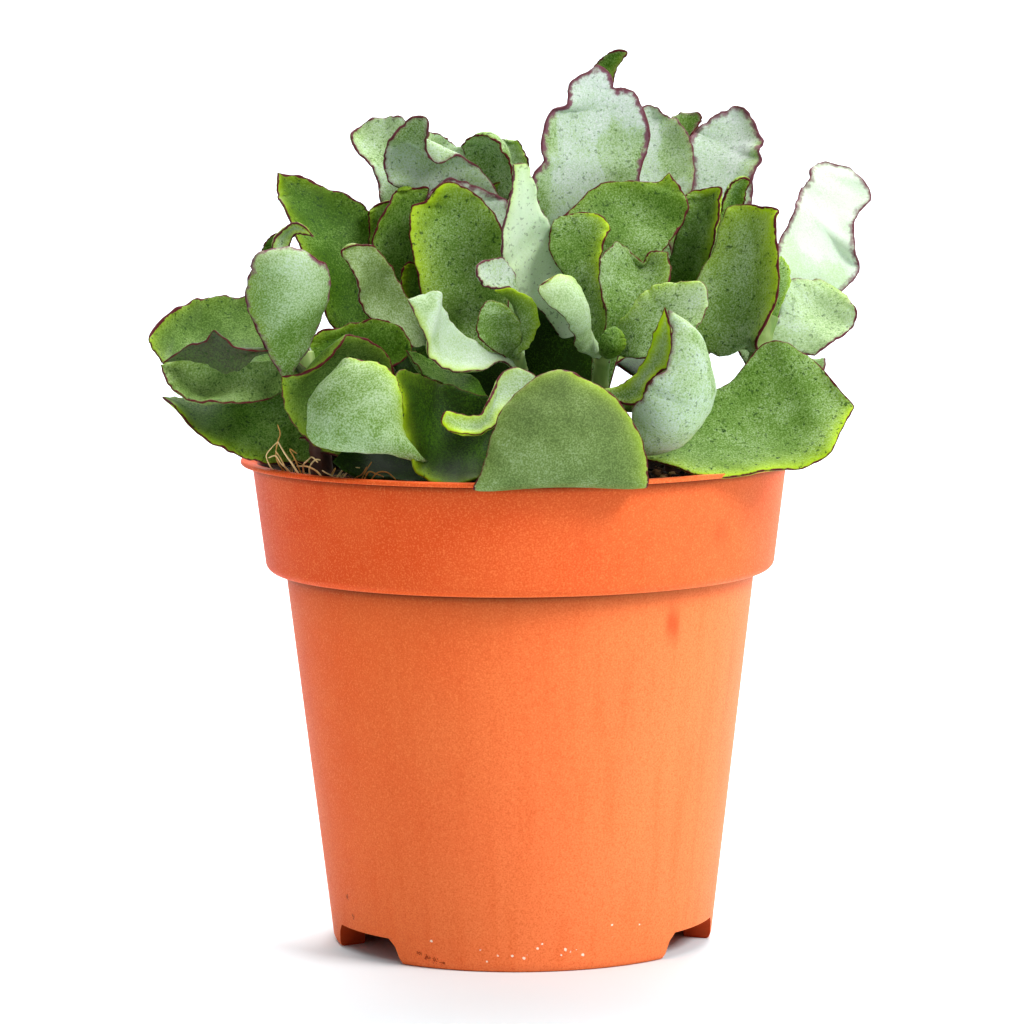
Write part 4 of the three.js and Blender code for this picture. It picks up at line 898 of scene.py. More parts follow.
def blade(row, rows, columns, draw):
    """Middle surface of a leaf: a grid of points, their normals and distances from the margin,
    and the places of its rows and columns."""
    _, stem, at, lefts, tip, rights, hollow, wave = row
    base = stem_point(stem, at)
    lefts, rights, tip = np.array(lefts, float), np.array(rights, float), np.array(tip, float)
    turn = unit(rights[-1] - lefts[-1])
    left_line, right_line = margin_lines(base, lefts, tip, rights, turn)
    u = 1 - (1 - np.linspace(0, 1, rows)) ** 1.5
    v = np.sin(np.linspace(-math.pi / 2, math.pi / 2, columns))
    ahead, behind = np.minimum(u + HEADING_STEP, 1), np.maximum(u - HEADING_STEP, 0)
    along = (left_line.at(ahead) + right_line.at(ahead)) - (left_line.at(behind) + right_line.at(behind))
    left, right = left_line.at(u), right_line.at(u)
    chord = right - left
    width = np.linalg.norm(chord, axis=1)
    chord = np.where(width[:, None] > TIP_WIDTH, chord, turn)
    side = unit(chord)
    fade = np.minimum(1, width / FADE_WIDTH)
    left = left - side * (TOOTH * sway(u, draw, TOOTH_BEATS) * fade)[:, None]
    right = right + side * (TOOTH * sway(u, draw, TOOTH_BEATS) * fade)[:, None]
    up = unit(np.cross(chord, along))
    centre = (left + right) / 2
    if isinstance(hollow, list):
        middle = Line([base, *hollow, tip]).at(u)
    else:
        middle = centre - up * smooth_values((0, *hollow, 0), 4 * u)[:, None]
    height, beats, start = wave
    ripple = [RIPPLE * fade * sway(u, draw, RIPPLE_BEATS) for _ in range(2)]
    grid = np.empty((rows, columns, 3))
    for j, x in enumerate(v):
        shift = WAVE_SHIFT if x > 0 else 0
        lift = height * x * x * np.minimum(1, 4 * u) * (1 - u ** 4)
        lift = lift * np.sin(2 * math.pi * (beats * u + start + shift)) + x ** 6 * ripple[int(x > 0)]
        grid[:, j] = middle + (right - left) * x / 2 + (centre - middle) * x * x + up * lift[:, None]
    normals = unit(np.cross(np.gradient(grid, axis=1), np.gradient(grid, axis=0)))
    normals[-1] = normals[-3].mean(axis=0)
    normals[-2] = (normals[-2] + normals[-3]) / 2
    return grid, unit(normals), margin_distance(grid), u, v


def leaf_parts(row, rows, columns):
    """Vertices, faces and looks of one leaf, a closed shell with a round margin."""
    draw = random.Random(row[0])
    grid, normals, edge, u, v = blade(row, rows, columns, draw)
    swell = EDGE_HALF + (CORE_HALF - EDGE_HALF) * (1 - np.exp(-edge / SWELL))
    half = swell * np.sqrt(1 - (1 - np.minimum(edge / EDGE_ROUND, 1)) ** 2)
    upper = grid + normals * half[..., None]
    lower = (grid - normals * half[..., None])[:, 1:-1]
    rows, columns = rows - 1, len(v)
    count = rows * columns
    points = np.concatenate([upper[:-1].reshape(-1, 3), lower[:-1].reshape(-1, 3), grid[-1:, columns // 2]])
    tip = len(points) - 1
    above = np.arange(count).reshape(rows, columns)
    below = above.copy()
    below[:, 1:-1] = count + np.arange(rows * (columns - 2)).reshape(rows, columns - 2)
    faces = []
    for sheet, flipped in ((above, False), (below, True)):
        corners = (sheet[:-1, :-1], sheet[:-1, 1:], sheet[1:, 1:], sheet[1:, :-1])
        quads = np.stack(corners, axis=-1).reshape(-1, 4)
        faces += (quads[:, ::-1] if flipped else quads).tolist()
        last = sheet[-1]
        fan = [[last[j], last[j + 1], tip] for j in range(columns - 1)]
        faces += [face[::-1] for face in fan] if flipped else fan
    faces.append([int(i) for i in above[0][::-1]] + [int(i) for i in below[0][1:-1]])
    looks = leaf_looks(row[0], edge, u, v, draw)
    marks = {}
    for name, values in looks.items():
        values = np.broadcast_to(values, edge.shape)
        marks[name] = np.concatenate([values[:-1].ravel(), values[:-1, 1:-1].ravel(), values[-1:, 0]])
    return points, faces, marks


def drawn_looks(draw):
    """Looks of a plain leaf in the form of a row of LOOKS."""
    at_base = PLAIN_BLOOM + BLOOM_RANGE * draw.random()
    at_tip = at_base + BLOOM_RANGE * (draw.random() - 0.4)
    backlights = [draw.random() ** 2 for _ in range(3)]
    return at_base, at_tip, *backlights, PLAIN_MAUVE * draw.random()


def leaf_looks(name, edge, u, v, draw):
    """The numbers that the leaf material reads at each point of a blade."""
    looks = LOOKS[name] if name in LOOKS else drawn_looks(draw)
    at_base, at_tip, backlight_left, backlight_right, backlight_tip, mauve = looks
    rows = u[:, None]
    columns = v[None, :]
    line_left, line_right = LINES.get(name, (1, 1))
    # Painted backlight: yellow-green near the margins and the tip, where light shines through
    near = np.exp(-edge / BACKLIGHT_REACH.get(name, USUAL_REACH))
    to_left, to_right = np.clip(-columns, 0, 1) ** 1.5, np.clip(columns, 0, 1) ** 1.5
    painted_backlight = near * (backlight_left * to_left + backlight_right * to_right) * np.minimum(1, 3 * rows)
    painted_backlight = painted_backlight + backlight_tip * near * rows ** 4
    return {
        "edge": edge,
        "bloom": at_base + (at_tip - at_base) * rows,
        "painted_backlight": np.minimum(painted_backlight, 1),
        "mauve": mauve,
        "dull": DULL.get(name, 0),
        "pale": PAINTED_LIGHT.get(name, 0),
        "line": line_left + (line_right - line_left) * np.clip(0.5 + columns * 2, 0, 1),
        "specks": FEW_SPECKS if name in SMOOTH_LEAVES else 1,
    }


# Shader nodes

class Shader:
    """One material's nodes, with short calls for the few kinds used here."""

    def __init__(self, name):
        self.material = bpy.data.materials.new(name)
        self.material.use_nodes = True
        self.tree = self.material.node_tree
        self.surface = self.tree.nodes["Principled BSDF"]
        self.place = self.add("ShaderNodeTexCoord").outputs["Object"]

    def add(self, kind, **settings):
        node = self.tree.nodes.new(kind)
        for key, value in settings.items():
            setattr(node, key, value)
        return node

    def feed(self, socket, value):
        if isinstance(value, bpy.types.NodeSocket):
            self.tree.links.new(value, socket)
        else:
            socket.default_value = value

    def math(self, operation, first, second):
        node = self.add("ShaderNodeMath", operation=operation)
        self.feed(node.inputs[0], first)
        self.feed(node.inputs[1], second)
        return node.outputs[0]

    def plus(self, first, second):
        return self.math("ADD", first, second)

    def minus(self, first, second):
        return self.math("SUBTRACT", first, second)

    def times(self, first, second):
        return self.math("MULTIPLY", first, second)

    def span(self, value, low, high, start=0.0, end=1.0):
        """The value's way from low to high, softly, as a number from start to end."""
        node = self.add("ShaderNodeMapRange", interpolation_type="SMOOTHSTEP")
        for socket, number in zip(("Value", "From Min", "From Max", "To Min", "To Max"),
                                  (value, low, high, start, end)):
            self.feed(node.inputs[socket], number)
        return node.outputs["Result"]

    def mix(self, factor, first, second):
        """The first colour where the factor is 0, the second where it is 1."""
        node = self.add("ShaderNodeMix", data_type="RGBA")
        self.feed(node.inputs[0], factor)
        self.feed(node.inputs[6], first)
        self.feed(node.inputs[7], second)
        return node.outputs[2]

    def layers(self, colour, *coats):
        """The colour with coats over it, each given as how much of it shows and its colour."""
        for amount, tint in coats:
            colour = self.mix(amount, colour, tint)
        return colour

    def mark(self, name):
        """A number that the mesh keeps at its points or faces."""
        node = self.add("ShaderNodeAttribute", attribute_type="GEOMETRY", attribute_name=name)
        return node.outputs["Fac"]

    def spots(self, table, uneven):
        """1 in small uneven spots on the pot's wall, 0 elsewhere."""
        total = 0.0
        for x, z, size in table:
            node = self.add("ShaderNodeVectorMath", operation="DISTANCE")
            self.feed(node.inputs[0], self.place)
            out = BASE_RADIUS + (BODY_TOP_RADIUS - BASE_RADIUS) * z / COLLAR_FOOT_Z
            node.inputs[1].default_value = (x * MM, -math.sqrt(out * out - x * x) * MM, z * MM)
            away = self.plus(node.outputs["Value"], uneven)
            total = self.plus(self.span(away, size * MM, size * MM * SPOT_CORE), total)
        return total

    def noise(self, scale, detail=3.0, stretch=None, shift=0.0):
        """Soft noise from 0 to 1, with its grain in turns per metre."""
        node = self.add("ShaderNodeTexNoise")
        place = self.place
        if stretch or shift:
            mapping = self.add("ShaderNodeMapping")
            self.feed(mapping.inputs["Vector"], place)
            mapping.inputs["Scale"].default_value = stretch or (1, 1, 1)
            mapping.inputs["Location"].default_value = (shift, shift, shift)
            place = mapping.outputs["Vector"]
        self.feed(node.inputs["Vector"], place)
        node.inputs["Scale"].default_value = scale
        node.inputs["Detail"].default_value = detail
        return node.outputs["Fac"]

    def ramp(self, value, stops):
        """The colour at the value's place between the stops, each given as place and colour."""
        node = self.add("ShaderNodeValToRGB")
        ramp = node.color_ramp
        while len(ramp.elements) < len(stops):
            ramp.elements.new(0.5)
        for element, (position, colour) in zip(ramp.elements, stops):
            element.position = position
            element.color = colour
        self.feed(node.inputs["Fac"], value)
        return node.outputs["Color"]

    def finish(self, colour, roughness, bump=None, strength=0.0, distance=0.0, **sockets):
        """The material, with a bump in metres and numbers for the surface's other sockets."""
        self.feed(self.surface.inputs["Base Color"], colour)
        self.feed(self.surface.inputs["Roughness"], roughness)
        for name, value in sockets.items():
            self.surface.inputs[name.replace("_", " ")].default_value = value
        if bump is not None:
            node = self.add("ShaderNodeBump")
            node.inputs["Strength"].default_value = strength
            node.inputs["Distance"].default_value = distance
            self.feed(node.inputs["Height"], bump)
            self.feed(self.surface.inputs["Normal"], node.outputs["Normal"])
        return self.material


def leaf_material():
    """Green under a chalky bloom, with specks, painted light on a few leaves, painted backlight where
    light shines through near the margin, and the margin's dark line.
    """
    shader = Shader("leaf_skin")
    edge, bloom, painted_backlight = shader.mark("edge"), shader.mark("bloom"), shader.mark("painted_backlight")
    mauve, line, specks = shader.mark("mauve"), shader.mark("line"), shader.mark("specks")
    fine = shader.noise(3000, 2)
    grain = shader.noise(1500, 3, shift=0.3)
    patch = shader.noise(130, 3, shift=0.7)
    rubbed = shader.noise(80, 3, stretch=(1, 1, 0.5), shift=1.9)
    uneven = shader.noise(700, 3, shift=3.1)

    level = shader.plus(bloom, shader.span(patch, 0.3, 0.7, -0.07, 0.07))
    level = shader.plus(level, shader.span(grain, 0.3, 0.7, -0.03, 0.03))
    level = shader.plus(level, shader.span(fine, 0.32, 0.68, -0.1, 0.1))
    wear = shader.span(rubbed, 0.54, 0.6, 0, -0.17)
    level = shader.plus(level, shader.times(wear, shader.span(bloom, 0.5, 0.9)))

    small_dots = shader.span(shader.noise(1250, 2, shift=4.4), 0.62, 0.68)
    large_dots = shader.span(shader.noise(620, 3, shift=2.3), 0.62, 0.7, 0, 0.6)
    under_bloom = shader.times(specks, shader.span(bloom, 0.5, 0.95, 0.75, 0.4))
    breadth = shader.times(mauve, shader.span(uneven, 0.3, 0.7, 0.4, 1.4))
    band = shader.span(shader.minus(edge, breadth), 0.6, -0.5)
    reach = shader.times(line, shader.span(uneven, 0.3, 0.7, 0.08, 0.28))
    close = shader.span(shader.minus(edge, reach), 0.1, -0.1)
    rim = shader.mix(shader.span(bloom, 0.55, 0.95, 0, 0.5), RIM, MAUVE)
    colour = shader.layers(
        shader.ramp(level, LEAF_COLOURS),
        (shader.mark("dull"), DULL_TINT),
        # Painted light: pale green on leaves that are to look more brightly lit
        (shader.mark("pale"), PAINTED_LIGHT_TINT),
        # Painted backlight near the margin
        (shader.times(painted_backlight, shader.span(patch, 0.2, 0.6, 0.7, 1.0)), PAINTED_BACKLIGHT),
        (shader.times(shader.plus(small_dots, large_dots), under_bloom), SPECK),
        (shader.times(band, mauve), MAUVE),
        (shader.times(close, shader.span(line, 0, 0.3)), rim),
    )
    rough = shader.span(level, 0.2, 0.9, 0.5, 0.65)
    height = shader.plus(shader.times(fine, 0.5), grain)
    return shader.finish(colour, rough, height, 0.22, 0.0002, Specular_IOR_Level=0.08,
                         Subsurface_Weight=0.12, Subsurface_Scale=0.002, Subsurface_Radius=(0.6, 1.0, 0.25))


def stem_material():
    """Bark that is woody low down and green near the tip."""
    shader = Shader("stem_bark")
    bark = shader.noise(420, 5, stretch=(1, 1, 0.35))
    wood = shader.mix(shader.span(bark, 0.3, 0.7), srgb(56, 28, 22), srgb(96, 54, 38))
    green = shader.mix(shader.span(bark, 0.35, 0.7), srgb(110, 140, 66), srgb(146, 168, 96))
    colour = shader.mix(shader.mark("young"), wood, green)
    return shader.finish(colour, 0.62, bark, 0.5, 0.0006, Subsurface_Weight=0.05, Subsurface_Scale=0.002)


def soil_material():
    """Dark soil in clods, with paler grains."""
    shader = Shader("potting_soil")
    clod = shader.noise(260, 6)
    grain = shader.noise(1500, 4, shift=0.6)
    colour = shader.ramp(clod, ((0.3, srgb(12, 9, 8)), (0.5, srgb(34, 24, 18)), (0.72, srgb(70, 48, 32))))
    colour = shader.mix(shader.span(grain, 0.62, 0.75), colour, srgb(104, 74, 48))
    return shader.finish(colour, 0.95, shader.plus(clod, grain), 0.8, 0.0012, Specular_IOR_Level=0.05)


def crumb_material():
    """Crumbs of soil and bark, each from black to pale brown by its own tone."""
    shader = Shader("soil_crumbs")
    grain = shader.noise(1800, 4)
    colour = shader.ramp(shader.mark("tone"), (
        (0.0, srgb(14, 10, 8)), (0.6, srgb(46, 32, 22)), (0.9, srgb(92, 62, 38)), (1.0, srgb(150, 118, 80)),
    ))
    colour = shader.mix(shader.span(grain, 0.35, 0.7, 0, 0.5), colour, srgb(20, 14, 10))
    return shader.finish(colour, 0.9, grain, 0.6, 0.0005, Specular_IOR_Level=0.05)


def fibre_material():
    """Dry roots from brown to pale straw, each by its own tone."""
    shader = Shader("root_fibre")
    grain = shader.noise(900, 3)
    colour = shader.ramp(shader.mark("tone"), (
        (0.0, srgb(132, 98, 54)), (0.5, srgb(228, 172, 96)), (1.0, srgb(255, 228, 172)),
    ))
    colour = shader.mix(shader.span(grain, 0.4, 0.7, 0, 0.3), colour, srgb(90, 50, 24))
    return shader.finish(colour, 0.8, grain, 0.3, 0.0002, Specular_IOR_Level=0.1)


def pot_material():
    """Terracotta-coloured plastic with a fine grain, faint streaks, rubs, flecks and dirt; painted light,
    brighter to the right and low down; painted shade under the lip, under the collar and inside the
    foot; and a dark brown inner wall above the soil.
    """
    shader = Shader("pot_plastic")
    fine = shader.noise(2900, 2)
    coarse = shader.noise(1100, 2, shift=2.6)
    cloud = shader.noise(45, 4, shift=0.4)
    streak = shader.noise(260, 4, stretch=(1, 1, 0.05), shift=0.9)
    # Painted light: each colour has a shaded copy at the left and a lit copy at the right and low down
    lit = shader.mark("lit")
    body = shader.mix(lit, srgb(220, 78, 18), srgb(250, 130, 76))
    rim = shader.mix(lit, srgb(212, 64, 10), srgb(234, 102, 54))
    rub = shader.times(shader.mark("stain"), shader.span(streak, 0.3, 0.6, 0.3, 0.8))
    uneven = shader.span(coarse, 0.3, 0.7, -0.00015, 0.0001)
    ragged = shader.span(fine, 0.3, 0.7, -0.0005, 0.0005)
    colour = shader.layers(
        shader.mix(shader.mark("collar"), body, rim),
        (shader.span(cloud, 0.3, 0.7, 0, 0.25), srgb(240, 130, 70)),
        (shader.span(streak, 0.45, 0.75, 0, 0.25), srgb(222, 88, 34)),
        (shader.span(fine, 0.5, 0.7, 0, 0.35), srgb(204, 72, 22)),
        (shader.span(fine, 0.5, 0.3, 0, 0.35), srgb(255, 150, 84)),
        (shader.span(coarse, 0.45, 0.7, 0, 0.12), srgb(214, 84, 34)),
        (rub, srgb(204, 60, 18)),
        (shader.spots(FLECKS, uneven), srgb(255, 232, 208)),
        (shader.spots(DIRT, ragged), srgb(158, 60, 24)),
        # The inner wall above the soil, painted dark brown
        (shader.mark("dark_inner_wall"), srgb(44, 22, 14)),
        # Painted shade under the lip and under the collar
        (shader.mark("shade"), srgb(44, 12, 4)),
        # Painted shade on the faces inside and under the foot
        (shader.mark("foot_shade"), srgb(180, 58, 20)),
    )
    rough = shader.span(fine, 0.3, 0.7, 0.46, 0.6)
    height = shader.plus(fine, shader.times(streak, 0.6))
    return shader.finish(colour, rough, height, 0.15, 0.0002, Specular_IOR_Level=0.06)


# Pieces

def set_marks(mesh, marks, domain):
    """Keeps numbers at the mesh's points or faces, for its material to read."""
    for mark, values in marks.items():
        layer = mesh.attributes.new(mark, "FLOAT", domain)
        layer.data.foreach_set("value", np.asarray(values, np.float32))


def mesh_object(name, points, faces, material, marks=None):
    """A smooth object from points in millimetres, with its numbers at each point."""
    mesh = bpy.data.meshes.new(name)
    mesh.from_pydata((np.asarray(points, float) * MM).tolist(), [], faces)
    set_marks(mesh, marks or {}, "POINT")
    mesh.polygons.foreach_set("use_smooth", [True] * len(mesh.polygons))
    mesh.materials.append(material)
    mesh.update()
    piece = bpy.data.objects.new(name, mesh)
    bpy.context.scene.collection.objects.link(piece)
    return piece


def joined_object(name, parts, material):
    """One object from several sets of points, faces and marks."""
    points, faces, marks, start = [], [], {}, 0
    for some_points, some_faces, some_marks in parts:
        points.append(some_points)
        faces += [[i + start for i in face] for face in some_faces]
        for mark, values in some_marks.items():
            marks.setdefault(mark, []).append(values)
        start += len(some_points)
    marks = {mark: np.concatenate(values) for mark, values in marks.items()}
    return mesh_object(name, np.concatenate(points), faces, material, marks)


def tube(middle, radii, sides):
    """Points and faces of a closed tube along a middle line."""
    ahead = unit(np.gradient(middle, axis=0))
    level = unit(np.cross(ahead, np.where(np.abs(ahead[:, 2:]) < 0.9, (0, 0, 1), (1, 0, 0))))
    beside = np.cross(ahead, level)
    angles = np.linspace(0, 2 * math.pi, sides, endpoint=False)
    ring = level[:, None] * np.cos(angles)[None, :, None] + beside[:, None] * np.sin(angles)[None, :, None]
    points = (middle[:, None] + ring * np.asarray(radii)[..., None]).reshape(-1, 3)
    faces = []
    for i in range(len(middle) - 1):
        for j in range(sides):
            k = (j + 1) % sides
            faces.append([i * sides + j, i * sides + k, (i + 1) * sides + k, (i + 1) * sides + j])
    faces.append(list(range(sides))[::-1])
    faces.append(list(range(len(points) - sides, len(points))))
    return points, faces


def leaf_objects(material):
    """One object for each stem's leaves."""
    parts = {name: [] for name in STEMS}
    for row in LEAVES:
        parts[row[1]].append(leaf_parts(row, *LEAF_GRID))
    for index, row in enumerate(PLAIN_LEAVES):
        parts[row[1]].append(leaf_parts(plain_row(index, *row), *PLAIN_GRID))
    return [joined_object(f"leaves_{name}", parts[name], material) for name in STEMS]


def stem_object(name, material):
    """One stem with rings where leaves stood, woody at the foot and green at the growing tip."""
    draw = random.Random(name)
    radius = STEMS[name][0]
    t = np.linspace(0, 1, STEM_STEPS)
    middle = np.array([stem_point(name, share) for share in t])
    rings = 1 + RING_HEIGHT * np.maximum(0, np.sin(t * 2 * math.pi * STEM_RINGS)) ** 6
    radii = radius * (0.98 - STEM_TAPER * t) * rings
    angles = np.linspace(0, 2 * math.pi, STEM_SIDES, endpoint=False)
    knots = 1 + KNOT_HEIGHT * np.sin(3 * angles[None, :] + 9 * t[:, None] + draw.random())
    points, faces = tube(middle, radii[:, None] * knots, STEM_SIDES)
    young = np.clip((middle[:, 2] - WOOD_TOP_Z) / (GREEN_FOOT_Z - WOOD_TOP_Z), 0, 1)
    return mesh_object(f"stem_{name}", points, faces, material, {"young": np.repeat(young, STEM_SIDES)})


def soil_height(x, y):
    """Height of the soil: a low mound with soft lumps, banked up at one side."""
    far = np.hypot(x, y) / COLLAR_TOP_RADIUS
    lumps = np.sin(x * 0.23 + 1.1) * np.cos(y * 0.19 + 0.4) + 0.6 * np.sin(x * 0.11 - y * 0.31)
    off = np.arctan2(y, x) - math.radians(BANK_HEADING)
    off = np.arctan2(np.sin(off), np.cos(off)) / math.radians(BANK_SPREAD)
    bank = BANK_HEIGHT * np.exp(-off * off) * np.clip((far - BANK_START) / BANK_RISE, 0, 1)
    mound = SOIL_RIM_Z + bank + SOIL_MOUND * (1 - far * far)
    return mound + SOIL_ROUGHNESS * lumps * np.minimum(1, 6 * (1 - far))


def body_inner(z):
    """Inner radius of the pot's body at a height."""
    share = (z - FOOT_ROUND) / (COLLAR_FOOT_Z - LIP_ROUND - FOOT_ROUND)
    return BASE_RADIUS + share * (BODY_TOP_RADIUS - BASE_RADIUS) - WALL


def collar_inner(z):
    """Inner radius of the pot's collar at a height."""
    low = COLLAR_FOOT_Z + COLLAR_CORNER
    share = (z - low) / (POT_HEIGHT - LIP_HEIGHT - LIP_ROUND - low)
    return COLLAR_FOOT_RADIUS + share * (COLLAR_TOP_RADIUS - COLLAR_FOOT_RADIUS) - WALL


def spun(profile, sides):
    """Points and faces of a profile turned round the Z axis; it starts and ends on the axis."""
    inner = np.array(profile[1:-1], float)
    angles = np.linspace(0, 2 * math.pi, sides, endpoint=False)
    ring = np.stack([np.cos(angles), np.sin(angles)], axis=-1)
    points = [[0, 0, profile[0][1]]]
    for r, z in inner:
        points += [[r * c, r * s, z] for c, s in ring]
    points.append([0, 0, profile[-1][1]])
    last = len(points) - 1
    faces = []
    for j in range(sides):
        k = (j + 1) % sides
        faces.append([0, 1 + k, 1 + j])
        for i in range(len(inner) - 1):
            low, high = 1 + i * sides, 1 + (i + 1) * sides
            faces.append([low + j, low + k, high + k, high + j])
        high = 1 + (len(inner) - 1) * sides
        faces.append([high + j, high + k, last])
    return np.array(points), faces


def soil_object(material):
    """The soil's body, down to the pot's floor, with a rough top."""
    draw = np.random.default_rng(SOIL_SEED)
    floor = FOOT_HEIGHT + FLOOR_THICKNESS + SOIL_FLOOR_GAP
    profile = [
        (0, floor), (body_inner(floor) - SOIL_GAP - FOOT_ROUND, floor),
        (body_inner(floor + FOOT_ROUND) - SOIL_GAP, floor + FOOT_ROUND),
        (body_inner(COLLAR_FOOT_Z) - SOIL_GAP, COLLAR_FOOT_Z + SOIL_STEP[0]),
        (collar_inner(COLLAR_FOOT_Z + SOIL_STEP[1]) - SOIL_GAP, COLLAR_FOOT_Z + SOIL_STEP[1]),
    ]
    profile += [(r, SOIL_RIM_Z) for r in np.linspace(collar_inner(SOIL_RIM_Z) - SOIL_GAP, 1, SOIL_RINGS)]
    profile.append((0, SOIL_RIM_Z))
    points, faces = spun(profile, SOIL_SIDES)
    top = points[:, 2] > SOIL_RIM_Z - 0.5
    x, y = points[top, 0], points[top, 1]
    rough = SOIL_CLODS * np.sin(x * 0.9 + 2 * np.sin(y * 0.7)) * np.sin(y * 1.1 + 1.3 * np.sin(x * 0.8))
    points[top, 2] = soil_height(x, y) + rough + draw.normal(0, SOIL_GRAIN, top.sum())
    return mesh_object("soil_body", points, faces, material)


def turned(points, angle):
    """The points turned round the Z axis."""
    c, s = math.cos(angle), math.sin(angle)
    return points @ np.array([[c, -s, 0], [s, c, 0], [0, 0, 1]]).T


def crumb(size, draw):
    """A small uneven lump, made from a solid with twelve corners and twenty sides."""
    phi = (1 + 5 ** 0.5) / 2
    corners = unit([np.roll((x, y * phi, 0), k) for k in range(3) for y in (1, -1) for x in (-1, 1)])
    faces = [
        (0, 11, 5), (0, 5, 1), (0, 1, 7), (0, 7, 10), (0, 10, 11), (1, 5, 9), (5, 11, 4), (11, 10, 2),
        (10, 7, 6), (7, 1, 8), (3, 9, 4), (3, 4, 2), (3, 2, 6), (3, 6, 8), (3, 8, 9), (4, 9, 5),
        (2, 4, 11), (6, 2, 10), (8, 6, 7), (9, 8, 1),
    ]
    stretch = np.array([draw.uniform(*limits) for limits in CRUMB_STRETCH])
    lumps = np.array([draw.uniform(*CRUMB_LUMPS) for _ in corners])[:, None]
    return turned(corners * lumps * stretch * size, draw.uniform(0, math.pi)), faces


def crumb_object(material):
    """Loose crumbs of soil and bark on the top."""
    draw = random.Random(CRUMB_SEED)
    parts = []
    for _ in range(CRUMB_COUNT):
        far = CRUMB_REACH * math.sqrt(draw.random())
        angle = draw.uniform(0, 2 * math.pi)
        x, y = far * math.cos(angle), far * math.sin(angle)
        size = CRUMB_SMALL + CRUMB_SPREAD * draw.random() ** 3
        points, faces = crumb(size, draw)
        points = points + np.array([x, y, float(soil_height(x, y)) + size * CRUMB_LIFT])
        parts.append((points, faces, {"tone": np.full(len(points), draw.random())}))
    return joined_object("soil_crumbs", parts, material)


def strand(middle, radii, tone):
    """A fibre along a middle line, all of one tone."""
    points, faces = tube(middle, radii[:, None], FIBRE_SIDES)
    return points, faces, {"tone": np.full(len(points), tone)}


def fibre(x, y, spread, reach, draw):
    """A dry root fibre whose foot is in the soil near x and y."""
    foot = np.array([x + draw.gauss(0, spread / 2), y + draw.gauss(0, spread / 2), 0])
    foot[:2] *= min(1, FIBRE_FOOT_REACH / np.hypot(foot[0], foot[1]))
    foot[2] = float(soil_height(foot[0], foot[1])) - FIBRE_DEPTH
    heading = draw.uniform(0, 2 * math.pi)
    run = draw.uniform(*FIBRE_RUN)
    rise = draw.uniform(*FIBRE_RISE) * reach
    lean = np.array([math.cos(heading) * run, math.sin(heading) * run, rise])
    bend = np.array([draw.gauss(0, FIBRE_BEND), draw.gauss(0, FIBRE_BEND), draw.uniform(0, reach * 0.8)])
    t = np.linspace(0, 1, FIBRE_STEPS)[:, None]
    middle = foot + lean * t + bend * (4 * t * (1 - t))
    middle += FIBRE_WAVE * np.sin(t * draw.uniform(*FIBRE_BEATS) + draw.uniform(0, 6))
    away = np.hypot(middle[:, 0], middle[:, 1])
    middle[:, :2] *= np.minimum(1, FIBRE_REACH / away)[:, None]
    radii = draw.uniform(*FIBRE_RADII) * (1 - FIBRE_TAPER * t[:, 0])
    return strand(middle, radii, draw.random())


def straw(tone, radius, path):
    """A straw along the path, which ends in the soil below the last point."""
    x, y = np.array(path[-1][:2]) * min(1, STRAW_REACH / math.hypot(*path[-1][:2]))
    line = Line([*path, (x, y, float(soil_height(x, y)) - FIBRE_DEPTH)])
    middle = line.at(np.linspace(0, 1, STRAW_STEPS))
    return strand(middle, radius * np.linspace(0.6, 1, STRAW_STEPS), tone)


def fibre_object(material):
    """Dry root fibres and straws that stand out of the soil."""
    draw = random.Random(FIBRE_SEED)
    parts = []
    for (x, y), spread, count, reach in TUFTS:
        parts += [fibre(x, y, spread, reach, draw) for _ in range(count)]
    parts += [straw(*row) for row in STRAWS]
    return joined_object("root_fibres", parts, material)


